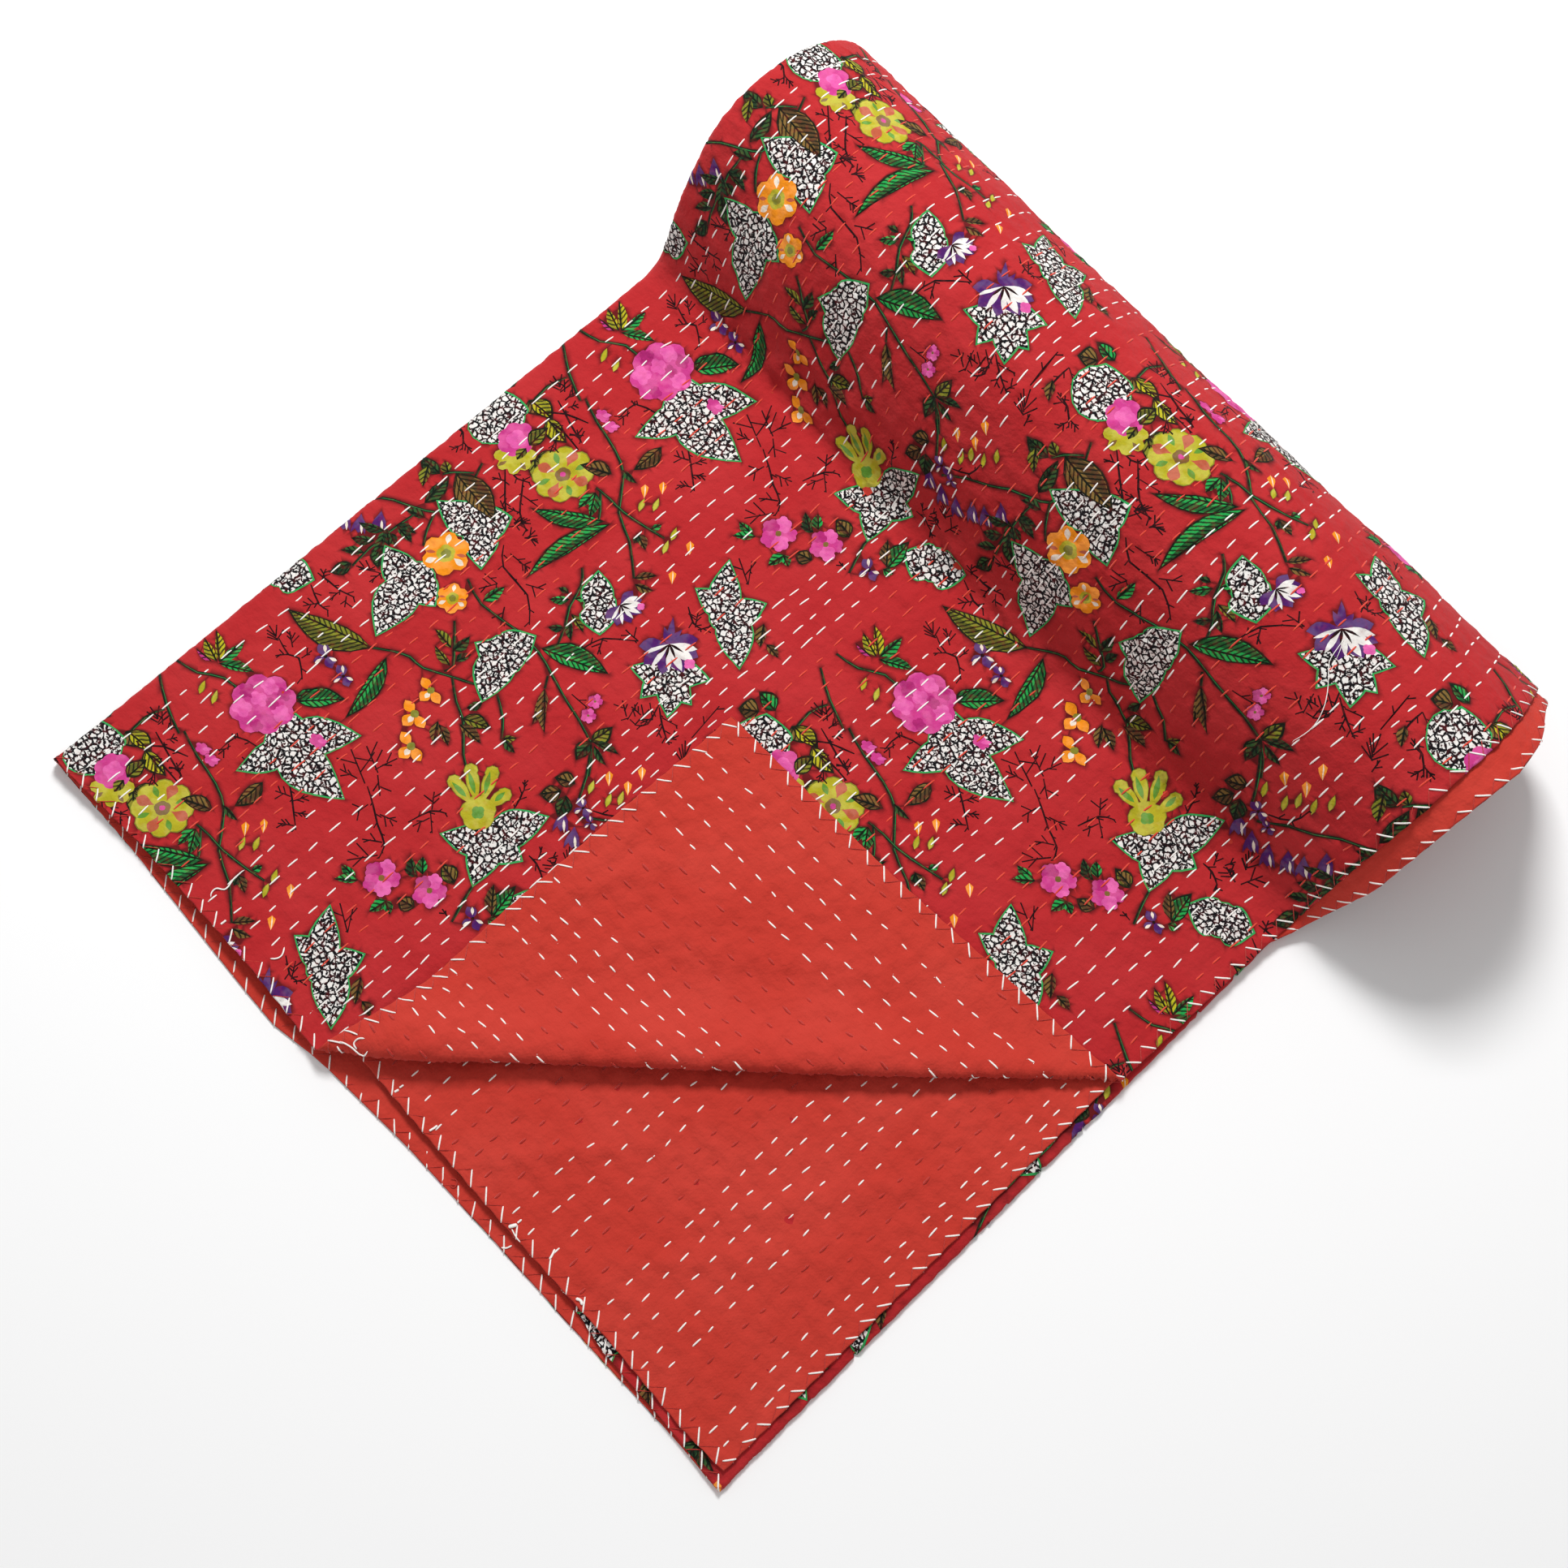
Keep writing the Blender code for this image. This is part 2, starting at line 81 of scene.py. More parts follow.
# The roll's inner turns: the wound form's near side, its turns, and how they step at both ends.
CORE_START = 0.570
CORE_SIDE = (
    (0.2365, 0.085), (0.227, 0.069), (0.221, 0.052), (0.2195, 0.034), (0.224, 0.017),
    (0.235, 0.0045), (0.25, 0.0003),
)
ROLL_MIDDLE = (0.270, 0.305, 0.055)
ROLL_TURNS = 8
ROLL_EYE = 0.0028
TURN_PITCH = 0.0059
TAIL_BACK = 0.012
LEAST_STEP = 1e-4
LOOP_POINTS = 241
LOOP_SMOOTHINGS = 6
TIGHT_OVER = 0.3
SQUEEZE_OVER = 0.10
QUILT_LENGTH = 2.743
# Run, step of the left end, step of the right end.
END_STEPS = (
    (0.85, 0.0, 0.0), (1.0, 0.002, -0.002), (1.25, 0.0052, -0.0045), (1.5, 0.005, -0.003),
    (1.72, 0.0015, 0.002), (1.95, 0.0005, 0.0015), (2.15, 0.0045, -0.003),
    (2.4, 0.0055, -0.0015), (2.75, 0.002, 0.001),
)

# Near edges of the layers: across, top, second, third, bottom.
NEAR_EDGES = (
    (-0.306, -0.2988, -0.283, -0.283, -0.2988), (-0.23, -0.2952, -0.2835, -0.2815, -0.3005),
    (-0.13, -0.2964, -0.284, -0.2805, -0.3065), (-0.095, -0.2985, -0.2842, -0.281, -0.308),
    (-0.062, -0.301, -0.2845, -0.282, -0.3025), (0.01, -0.301, -0.2877, -0.284, -0.299),
    (0.08, -0.3, -0.2896, -0.287, -0.299), (0.133, -0.299, -0.29, -0.2905, -0.2994),
    (0.165, -0.299, -0.29, -0.296, -0.2996), (0.225, -0.298, -0.293, -0.2976, -0.299),
    (0.262, -0.298, -0.2919, -0.3006, -0.3006),
)
EDGE_FADE = 0.30
EDGE_LIFT = {"top": 0.0026, "second": 0.0014, "third": 0.0006, "bottom": 0.0}
LIFT_REACH = 0.022
LIFT_EVEN, LIFT_UNEVEN = 0.75, 0.25
DENT = 0.0012
DENTS_FROM, DENTS_TO, DENTS_FADE = 0.50, 0.80, 0.08

# Right hems by length along the path: path length, top layer's hem, second layer's hem.
RIGHT_HEMS = (
    (0.0, 0.2595, 0.257), (0.3, 0.259, 0.256), (0.44, 0.2625, 0.261), (0.47, 0.265, 0.272),
    (0.52, 0.27, 0.286), (0.58, 0.2775, 0.293), (0.63, 0.28, 0.2985), (0.66, 0.2785, 0.295),
    (0.69, 0.274, 0.284), (0.74, 0.2695, 0.278), (0.9, 0.267, 0.272), (1.1, 0.264, 0.2655),
    (1.4, 0.261, 0.263), (1.7, 0.2655, 0.262), (2.1, 0.262, 0.2645), (2.75, 0.263, 0.261),
)

# The turned-back corner.
FOLD_START = (-0.0641, -0.2970)
FOLD_ANGLE = math.radians(43.9)
FOLD_LENGTH = 0.446
SLIDE = 0.06
BULGE_RUN = 0.028
BULGE_LEAST = 0.30
BULGE_START, BULGE_START_FADE = -0.015, 0.085
BULGE_END, BULGE_END_FADE = 0.012, 0.16
SHOULDER, SHOULDER_AT, SHOULDER_REACH = 0.30, 0.050, 0.032
SETTLE = 0.030
# Out from the fold line, height above the layer.
BULGE = (
    (-0.046, 0.0), (-0.037, 0.0), (-0.028, 0.0), (-0.019, 0.0003), (-0.009, 0.0014),
    (0.0005, 0.0032), (0.0055, 0.006), (0.0065, 0.01), (0.001, 0.0124), (-0.007, 0.011),
    (-0.016, 0.0072), (-0.026, 0.0032), (-0.036, 0.0008), (-0.046, 0.0), (-0.056, 0.0),
    (-0.066, 0.0), (-0.076, 0.0),
)

# Places across the cloth, from the top layer's hem round the folds to the second layer's hem.
TOP_WIDTH = RIGHT_HEMS[0][1] - LEFT_X
INNER_WIDTH = RIGHT_X - LEFT_X
SECOND_WIDTH = RIGHT_HEMS[0][2] - LEFT_X
OUTER_ARC = math.pi * OUTER_FOLD
INNER_ARC = math.pi * INNER_FOLD
TOP_END = TOP_WIDTH
BOTTOM_START = TOP_END + OUTER_ARC
BOTTOM_END = BOTTOM_START + INNER_WIDTH
THIRD_START = BOTTOM_END + INNER_ARC
THIRD_END = THIRD_START + INNER_WIDTH
SECOND_START = THIRD_END + INNER_ARC
CLOTH_WIDTH = SECOND_START + SECOND_WIDTH
STARTS = (0.0, TOP_END, BOTTOM_START, BOTTOM_END, THIRD_START, THIRD_END, SECOND_START)


# ---- where the cloth lies

def smooth_curve(points):
    """Points along the uniform cubic B-spline of a control polygon, columns as given."""
    control = np.asarray(points, dtype=float)
    t = np.linspace(0.0, 1.0, CURVE_STEPS, endpoint=False)[:, None]
    weights = (
        (1 - t) ** 3 / 6,
        (3 * t ** 3 - 6 * t ** 2 + 4) / 6,
        (-3 * t ** 3 + 3 * t ** 2 + 3 * t + 1) / 6,
        t ** 3 / 6,
    )
    spans = [
        sum(weight * control[first + place] for place, weight in enumerate(weights))
        for first in range(len(control) - 3)
    ]
    return np.concatenate(spans)


def lengths_along(curve):
    """Running length of a polyline."""
    steps = np.linalg.norm(np.diff(curve, axis=0), axis=1)
    return np.concatenate(([0.0], np.cumsum(steps)))


def smoothstep(value):
    """0 below 0, 1 above 1 and a soft rise between."""
    held = np.clip(value, 0.0, 1.0)
    return held * held * (3 - 2 * held)


class Path:
    """The stack's upper side: where a length along the strip lies, and which way is out.

    Past the outer turn's end it winds inwards: each turn is the wound form's outline, drawn towards
    the roll's middle by one turn's thickness more than the turn before."""

    def __init__(self):
        curve = smooth_curve(PATH)
        middle, run = self.measured(curve)
        furthest = middle[:, 0].argmax()
        start = np.interp(NEAR_ALONG, middle[:furthest, 0], run[:furthest])
        under = run > run[furthest]
        self.run_end = run[under & (middle[:, 0] < sum(END_ALONG) / 2)][0] - start
        self.set_curve(curve, run - start)
        kept = self.run <= self.run_end
        wound = self.wind(curve[kept][-1], curve[kept], self.run[kept])
        curve = np.concatenate((curve[kept], wound))
        _, run = self.measured(curve)
        self.set_curve(curve, run - run[kept.sum() - 1] + self.run[kept][-1])
        self.end = min(self.run[-1], QUILT_LENGTH)

    @staticmethod
    def measured(curve):
        """The curve halfway between the left and the right side, and its running length."""
        middle = np.column_stack(((curve[:, 0] + curve[:, 1]) / 2, curve[:, 2]))
        return middle, lengths_along(middle)

    def set_curve(self, curve, run):
        """Keeps the curve with its running length and its slope, the gradient along that length."""
        self.curve, self.run = curve, run
        self.slope = np.gradient(curve, run, axis=0)

    def wind(self, tail, curve, run):
        """Points of the inner turns, as left along, right along and height.

        One loop is the outer turn's inside, closed by the wound form's near side. Each turn is that
        loop drawn in towards the line between the roll's two middles."""
        over = run > CORE_START
        slope = self.slope[: len(run)][over]
        size = np.hypot(slope[:, 0], slope[:, 2])
        inside = np.column_stack((
            curve[over, 0] + slope[:, 2] / size * FOUR_LAYERS,
            curve[over, 2] - slope[:, 0] / size * FOUR_LAYERS,
        ))
        side = np.array([(tail[0] - TAIL_BACK, 0.0), *CORE_SIDE[::-1]])
        loop = np.concatenate(([[tail[0], 0.0]], side, inside))
        apart = np.linalg.norm(np.diff(loop, axis=0), axis=1) > LEAST_STEP
        loop = loop[np.concatenate(([True], apart))]
        share = lengths_along(loop) / lengths_along(loop)[-1]
        fine = np.linspace(0, 1, LOOP_POINTS)
        loop = np.column_stack([np.interp(fine, share, loop[:, c]) for c in (0, 1)])
        for _ in range(LOOP_SMOOTHINGS):
            loop[1:-1] = (loop[:-2] + 2 * loop[1:-1] + loop[2:]) / 4
        turns = np.arange(ROLL_TURNS)[:, None]
        looser = (FOUR_LAYERS - TURN_PITCH) * (1 - smoothstep(fine / TIGHT_OVER)) * (turns > 0)
        inwards = TURN_PITCH * turns + looser
        low, high, level = ROLL_MIDDLE
        centre = np.column_stack((np.clip(loop[:, 0], low, high), np.full(len(loop), level)))
        away = loop - centre
        far = np.hypot(*away.T)
        spiral = centre + away * ((far - inwards) / far)[..., None]
        room = (far.min() - inwards) > ROLL_EYE
        spiral = spiral[:, 1:][room[:, 1:]]
        skew = END_ALONG[1] - END_ALONG[0]
        return np.column_stack((spiral[:, 0], spiral[:, 0] + skew, spiral[:, 1]))

    def at(self, length, share):
        """Along and height, and the outward direction, at a share of the way across."""
        left, right, height = (np.interp(length, self.run, self.curve[:, c]) for c in range(3))
        d_left, d_right, d_height = (
            np.interp(length, self.run, self.slope[:, c]) for c in range(3)
        )
        along = left + (right - left) * share
        d_along = d_left + (d_right - d_left) * share
        size = np.hypot(d_along, d_height)
        return along, height, -d_height / size, d_along / size


PATHWAY = Path()
RUN_END = PATHWAY.run_end
CLOTH_LENGTH = PATHWAY.end


def squeeze(run):
    """The inner turns are wound tighter than the outer one: a soft step down along the cloth."""
    return 1 - (1 - TURN_PITCH / FOUR_LAYERS) * smoothstep((run - RUN_END) / SQUEEZE_OVER)


def column(table, run, place):
    """A column of a table at a length along the cloth, in straight lines between its rows."""
    rows = np.asarray(table)
    return np.interp(run, rows[:, 0], rows[:, place])


def end_step(x, run):
    """The turns don't end in one line: a shift across that changes from turn to turn."""
    share = np.clip((x - LEFT_X) / (RIGHT_X - LEFT_X), 0, 1)
    left, right = column(END_STEPS, run, 1), column(END_STEPS, run, 2)
    return left + (right - left) * share


def on_strip(x, length, depth, lift):
    """Position of a point of the cloth at a depth below the stack's upper side, with the soft
    dents of the turn over the roll: a product of two sines, faded in and out along the strip."""
    share = (x - LEFT_X) / (RIGHT_X - LEFT_X)
    along, height, out_y, out_z = PATHWAY.at(length, share)
    fade = smoothstep((length - DENTS_FROM) / DENTS_FADE)
    fade *= smoothstep((DENTS_TO - length) / DENTS_FADE)
    wave = np.sin(21 * x + 14 * length + 0.6) * np.cos(33 * x - 26 * length)
    out = DENT * wave * fade + lift - depth
    return np.stack((x, along + out_y * out, height + out_z * out), axis=-1)


def near_shift(x, layer, run):
    """Moves a layer's near edge to its own place, fading out evenly along the strip."""
    edge = column(NEAR_EDGES, x, LAYERS.index(layer) + 1) - NEAR_ALONG
    return edge * np.clip(1 - run / EDGE_FADE, 0.0, 1.0)


def near_lift(x, layer, run):
    """A layer's near edge stands off the one below it: a sine across, an exponential along."""
    uneven = LIFT_EVEN + LIFT_UNEVEN * np.sin(41 * x + 1.0)
    return EDGE_LIFT[layer] * uneven * np.exp(-run / LIFT_REACH)


def right_hem(layer, run):
    """How far to the right the top or second layer reaches."""
    return column(RIGHT_HEMS, run, 1 if layer == "top" else 2)


def fold_frame(x, along):
    """Place along the corner's fold line, and distance out from it towards the corner."""
    across = x - FOLD_START[0]
    away = along - FOLD_START[1]
    way = across * math.cos(FOLD_ANGLE) + away * math.sin(FOLD_ANGLE)
    out = across * math.sin(FOLD_ANGLE) - away * math.cos(FOLD_ANGLE)
    return way, out


def bulge_size(way):
    """How full the fold is: soft steps up and down along it, a Gaussian shoulder at its start."""
    start = smoothstep((way - BULGE_START) / BULGE_START_FADE)
    end = smoothstep((FOLD_LENGTH + BULGE_END - way) / BULGE_END_FADE)
    shoulder = np.exp(-(((way - SHOULDER_AT) / SHOULDER_REACH) ** 2))
    return BULGE_LEAST + (1 - BULGE_LEAST) * start * end + SHOULDER * shoulder


BULGE_CURVE = smooth_curve(BULGE)
BULGE_LENGTH = lengths_along(BULGE_CURVE)
BULGE_CREST = BULGE_CURVE[:, 0].argmax()
BULGE_FROM = np.interp(-BULGE_RUN, BULGE_CURVE[:BULGE_CREST, 0], BULGE_LENGTH[:BULGE_CREST])


def turn_back(points):
    """Turns the top layer's near right corner over its fold line, printed side down.

    The distance out from the line is laid along the bulge's curve, scaled by the fold's size."""
    way, out = fold_frame(points[:, 0], points[:, 1])
    size = bulge_size(way)
    run = out + BULGE_RUN * size
    turned = run > 0
    on_curve = run / size + BULGE_FROM
    new_out = np.interp(on_curve, BULGE_LENGTH, BULGE_CURVE[:, 0]) * size
    new_out -= np.clip(on_curve - BULGE_LENGTH[-1], 0, None) * size
    rise = np.interp(on_curve, BULGE_LENGTH, BULGE_CURVE[:, 1]) * size
    rise += PITCH * smoothstep((run / size - SETTLE) / SETTLE)
    way = way + SLIDE * np.minimum(new_out, 0)
    moved = points.copy()
    moved[:, 0] = FOLD_START[0] + way * math.cos(FOLD_ANGLE) + new_out * math.sin(FOLD_ANGLE)
    moved[:, 1] = FOLD_START[1] + way * math.sin(FOLD_ANGLE) - new_out * math.cos(FOLD_ANGLE)
    moved[:, 2] = points[:, 2] + rise
    return np.where(turned[:, None], moved, points)


def flat_part(layer, t, run):
    """A layer between its folds, t in from where it starts: straight, shifted at its ends."""
    if layer == "top":
        x = right_hem("top", run) - t * (right_hem("top", run) - LEFT_X) / TOP_WIDTH
    elif layer == "second":
        x = LEFT_X + t * (right_hem("second", run) - LEFT_X) / SECOND_WIDTH
    elif layer == "bottom":
        x = LEFT_X + t
    else:
        x = RIGHT_X - t
    length = run + near_shift(x, layer, run)
    x = x + end_step(x, run)
    placed = on_strip(x, length, DEPTH[layer] * squeeze(run), near_lift(x, layer, run))
    return turn_back(placed) if layer == "top" else placed


def fold_part(first, last, t, run):
    """The half round fold between two layers: a sine across and a cosine in depth."""
    radius = abs(DEPTH[last] - DEPTH[first]) / 2
    x_radius = radius * squeeze(run)
    centre, side = (RIGHT_X, 1) if first == "bottom" else (LEFT_X, -1)
    angle = t / radius
    x = centre + side * x_radius * np.sin(angle) + end_step(np.full_like(run, centre), run)
    blend = (1 - np.cos(angle)) / 2

    def between(of_first, of_last):
        """From the first layer's value to the last one's, by the share of depth gone."""
        return of_first + (of_last - of_first) * blend

    depth = between(DEPTH[first], DEPTH[last]) * squeeze(run)
    shift = between(near_shift(x, first, run), near_shift(x, last, run))
    lift = between(near_lift(x, first, run), near_lift(x, last, run))
    return on_strip(x, run + shift, depth, lift)


PARTS = (
    (flat_part, ("top",)),
    (fold_part, ("top", "bottom")),
    (flat_part, ("bottom",)),
    (fold_part, ("bottom", "third")),
    (flat_part, ("third",)),
    (fold_part, ("third", "second")),
    (flat_part, ("second",)),
)


def middle(w, run):
    """Place of the middle of the quilt's thickness, part by part across the cloth."""
    part = np.clip(np.searchsorted(STARTS, w, side="right") - 1, 0, len(PARTS) - 1)
    placed = np.empty((len(w), 3))
    for number, (shape, layers) in enumerate(PARTS):
        here = part == number
        placed[here] = shape(*layers, w[here] - STARTS[number], run[here])
    placed[:, 0] -= MIDDLE[0]
    placed[:, 1] -= MIDDLE[1]
    return placed


NORMAL_STEP = 0.0004


def plain_way(w, run):
    """Direction out of the plain face: across the cloth crossed with along it."""
    e = NORMAL_STEP
    across = middle(w + e, run) - middle(w - e, run)
    along = middle(w, run + e) - middle(w, run - e)
    way = np.cross(across, along)
    return way / np.linalg.norm(way, axis=1, keepdims=True)


# ---- rows of running stitch

# Bands of white rows on the top and second layers: first row's place across, pitch, rows.
TOP_BANDS = (
    (-0.286, 0.0137, 4), (-0.174, 0.0147, 4), (-0.084, 0.0103, 4), (0.001, 0.0107, 4),
    (0.075, 0.0125, 4), (0.187, 0.015, 4),
)
SECOND_BANDS = (
    (-0.28, 0.014, 4), (-0.17, 0.014, 4), (-0.016, 0.0148, 3), (0.08, 0.0145, 3),
    (0.149, 0.0125, 5), (0.238, 0.009, 2),
)
INNER_BANDS = tuple((LEFT_X + 0.016 + 0.112 * number, 0.014, 4) for number in range(5))
ROW_PITCH = 0.0136
STITCH_PITCH = (0.0125, 0.0166)
PRINT_SHARE = (0.52, 0.67)
STITCHES_IN_ROW = 200
FIRST_STITCH = (0.012, 0.028)
ROW_KEY = 10.0
ROW_FROM_HEM = 0.004
SLOW_WAVE, SLOW_LENGTH = 0.0012, 0.060
QUICK_WAVE, QUICK_LENGTH = 0.0004, 0.017


def rows_of(bands):
    """(place across, white or not) of a layer's rows: white bands, with red rows between them."""
    places, start = [], LEFT_CREST
    for first, pitch, count in (*bands, (RIGHT_CREST, 0.0, 0)):
        gaps = max(round((first - start) / ROW_PITCH), 1)
        places += [(start + (first - start) * n / gaps, False) for n in range(1, gaps)]
        places += [(first + pitch * n, True) for n in range(count)]
        start = first + pitch * (count - 1)
    return places


def all_rows():
    """Rows of the whole cloth: distance across it, and whether the thread is white."""
    rows = [(TOP_WIDTH - (x - LEFT_X), white) for x, white in rows_of(TOP_BANDS)]
    rows += [(BOTTOM_START + x - LEFT_X, white) for x, white in rows_of(INNER_BANDS)]
    rows += [(THIRD_START + RIGHT_X - x, white) for x, white in rows_of(INNER_BANDS)]
    rows += [(SECOND_START + x - LEFT_X, white) for x, white in rows_of(SECOND_BANDS)]
    rows = sorted(row for row in rows if ROW_FROM_HEM < row[0] < CLOTH_WIDTH - ROW_FROM_HEM)
    return np.array([row[0] for row in rows]), np.array([row[1] for row in rows])


ROW_W, ROW_WHITE = all_rows()
DICE = np.random.default_rng(11)
ROW_PHASE = DICE.uniform(0, 2 * math.pi, (3, len(ROW_W)))
STITCH_STEP = DICE.uniform(*STITCH_PITCH, (len(ROW_W), STITCHES_IN_ROW))
STITCH_START = np.cumsum(STITCH_STEP, axis=1) - DICE.uniform(*FIRST_STITCH, (len(ROW_W), 1))
STITCH_SHARE = DICE.uniform(*PRINT_SHARE, STITCH_STEP.shape)
STITCH_KEYS = (STITCH_START + ROW_KEY * np.arange(len(ROW_W))[:, None]).ravel()


def row_place(row, run):
    """Where a row runs across the cloth: its own place with two slow waves."""
    slow = SLOW_WAVE * np.sin(run / SLOW_LENGTH + ROW_PHASE[0, row])
    return ROW_W[row] + slow + QUICK_WAVE * np.sin(run / QUICK_LENGTH + ROW_PHASE[1, row])


# Puckers: how thick a face stands off the middle, and how far the thread pulls it.
HALF = 0.00088
GROOVE, GROOVE_REACH = 0.34, 0.0028
PINCH, PINCH_REACH, PINCH_RUN = 0.50, 0.0036, 0.0030
RIPPLE, RIPPLE_REACH = 0.00055, 0.0065
HEM_ROUND = 0.0009
HEM_BAND, HEM_BAND_FADE, HEM_THICKER = 0.0085, 0.0015, 0.12
RIPPLE_FROM_HEM, WRINKLES_FROM_HEM = 0.004, 0.006
HEM_PITCH = 0.0133
SCALLOP, SCALLOP_REACH = 0.00045, 0.004
FLOOR_GAP = 0.0001


def from_hem(w, run):
    """Distance to the nearest hem."""
    return np.minimum(np.minimum(w, CLOTH_WIDTH - w), np.minimum(run, CLOTH_LENGTH - run))


def relief(w, run):
    """How far the middle ripples towards the plain face, and half the quilt's thickness there.

    Across a row the thickness dips in a Gaussian groove, deepest at the needle's holes. Along a row
    the middle swings to the plain face under a stitch on the print, and back under one on the plain
    face, as half sines. At a hem the thickness closes in a quarter round."""
    row = np.clip(np.searchsorted((ROW_W[1:] + ROW_W[:-1]) / 2, w), 0, len(ROW_W) - 1)
    aside = w - row_place(row, run)
    place = np.clip(np.searchsorted(STITCH_KEYS, ROW_KEY * row + run) - 1, 0, len(STITCH_KEYS) - 1)
    gone = run - STITCH_START.ravel()[place]
    step = STITCH_STEP.ravel()[place]
    printed = STITCH_SHARE.ravel()[place] * step
    on_print = gone < printed
    swing = np.where(on_print, gone / printed, (gone - printed) / (step - printed))
    swing = np.sin(math.pi * np.clip(swing, 0, 1)) * np.where(on_print, 1, -1)
    hole = np.minimum(np.minimum(abs(gone), abs(gone - printed)), abs(step - gone))
    groove = np.exp(-((aside / GROOVE_REACH) ** 2))
    pinch = np.exp(-((aside / PINCH_REACH) ** 2) - (hole / PINCH_RUN) ** 2)
    ripple = RIPPLE * swing * np.exp(-((aside / RIPPLE_REACH) ** 2))
    inwards = from_hem(w, run)
    edge = np.clip(1 - inwards / HEM_ROUND, 0, 1)
    half = HALF * squeeze(run) * (1 - GROOVE * groove - PINCH * pinch)
    half *= 1 + HEM_THICKER * smoothstep((HEM_BAND - inwards) / HEM_BAND_FADE)
    return ripple * smoothstep(inwards / RIPPLE_FROM_HEM), half * np.sqrt(1 - edge ** 2)


# Main creases of the top layer: across and run at both ends, height, reach. The
# first fourteen lie in the valley before the roll.
CREASES = (
    (-0.3, 0.395, -0.215, 0.47, 0.0022, 0.006), (-0.235, 0.4, -0.18, 0.505, 0.002, 0.007),
    (-0.19, 0.44, -0.12, 0.52, 0.0016, 0.006), (-0.06, 0.43, -0.01, 0.51, 0.0014, 0.007),
    (0.06, 0.425, 0.1, 0.5, 0.0016, 0.006), (0.15, 0.405, 0.2, 0.48, 0.0018, 0.007),
    (-0.295, 0.462, -0.13, 0.452, 0.0024, 0.0046), (-0.25, 0.483, -0.07, 0.466, 0.0022, 0.0046),
    (-0.16, 0.44, 0.0, 0.43, 0.0022, 0.0046), (-0.07, 0.482, 0.08, 0.462, 0.0023, 0.0046),
    (0.0, 0.442, 0.13, 0.432, 0.0023, 0.0046), (0.07, 0.452, 0.225, 0.436, 0.0023, 0.0046),
    (-0.21, 0.506, -0.08, 0.492, 0.0016, 0.005), (0.11, 0.478, 0.235, 0.458, 0.0018, 0.005),
    (-0.24, 0.12, -0.13, 0.19, 0.0007, 0.01), (-0.15, 0.21, -0.04, 0.33, 0.0006, 0.012),
    (-0.27, 0.3, -0.16, 0.33, 0.0007, 0.01), (0.02, 0.17, 0.12, 0.29, 0.0011, 0.009),
    (0.12, 0.06, 0.23, 0.19, 0.0016, 0.008), (0.06, 0.04, 0.2, 0.09, 0.0013, 0.007),
    (-0.02, 0.06, 0.06, 0.17, 0.0015, 0.006), (0.03, 0.045, 0.11, 0.15, 0.0016, 0.006),
    (0.15, 0.13, 0.235, 0.26, 0.0015, 0.007), (0.1, 0.01, 0.18, 0.045, 0.0014, 0.006),
    (-0.21, 0.02, -0.14, 0.1, 0.0007, 0.008), (-0.1, 0.25, 0.02, 0.3, 0.0008, 0.009),
    (-0.06, 0.33, 0.06, 0.395, 0.0008, 0.009), (0.13, 0.33, 0.23, 0.4, 0.0009, 0.009),
)
SWELL = 0.00055
SWELL_FADE, SWELL_FADE_ROLL = 0.02, 0.05
FOLD_CLEAR = 0.03
SECOND_AHEAD = 0.05


def top_x(w):
    """Place across the strip of a place on the top layer before its corner is turned."""
    return TOP_WIDTH - w + LEFT_X


def second_x(w):
    """Place across the strip of a place on the second layer."""
    return w - SECOND_START + LEFT_X


def past_fold(x, run):
    """How far a place lies past the corner's fold line."""
    return fold_frame(x, run + NEAR_ALONG)[1]


def creases(x, run):
    """Height of soft ridges: a Gaussian of the distance to each crease's line, over slow waves."""
    height = SWELL * (1 + np.sin(34 * x + 21 * run) * np.sin(47 * run - 17 * x + 1.0))
    for x0, run0, x1, run1, high, reach in CREASES:
        way = np.array([x1 - x0, run1 - run0])
        t = np.clip(((x - x0) * way[0] + (run - run0) * way[1]) / (way @ way), 0, 1)
        off = np.hypot(x - x0 - t * way[0], run - run0 - t * way[1])
        height = height + high * np.exp(-((off / reach) ** 2)) * np.sin(math.pi * t) ** 0.5
    return height


def outward(w, run):
    """How far the cloth swells towards the plain face: the creases of the layers that lie open,
    faded by soft steps at the hems, the folds, the corner's fold line and the roll."""
    out = past_fold(top_x(w), run)
    ridges = creases(top_x(w), run)
    top = -ridges * smoothstep(-out / FOLD_CLEAR) + ridges * smoothstep(out / FOLD_CLEAR - 1)
    second = creases(second_x(w), run + SECOND_AHEAD)
    second *= smoothstep(past_fold(second_x(w), run) / SWELL_FADE)
    swell = np.where(w < TOP_END, top * smoothstep((TOP_END - w) / SWELL_FADE), 0.0)
    swell = np.where(w > SECOND_START, second * smoothstep((w - SECOND_START) / SWELL_FADE), swell)
    swell = swell * smoothstep(from_hem(w, run) / SWELL_FADE)
    return swell * smoothstep((RUN_END - run) / SWELL_FADE_ROLL)


PLAIN, PRINTED = 1, -1
CRUMPLE = 0.00024
# Waves of the fine wrinkles, in radians to the metre: across, along, then how far each is bent
# and the bending wave's own across and along.
WRINKLES = (
    (420, 160, 1.8, 40, 95), (-230, 510, 1.6, 110, 0), (340, 300, 2.1, -75, 60),
    (130, -90, 0.0, 0, 0),
)


def crumple(w, run):
    """Fine wrinkles: products of sine waves 12 to 20 mm long, each bent by a slower one."""
    first, second, third, slow = (
        np.sin(across * w + along * run + bend * np.sin(bend_across * w + bend_along * run))
        for across, along, bend, bend_across, bend_along in WRINKLES
    )
    return CRUMPLE * (first * second + 0.9 * (third * slow)) * squeeze(run)


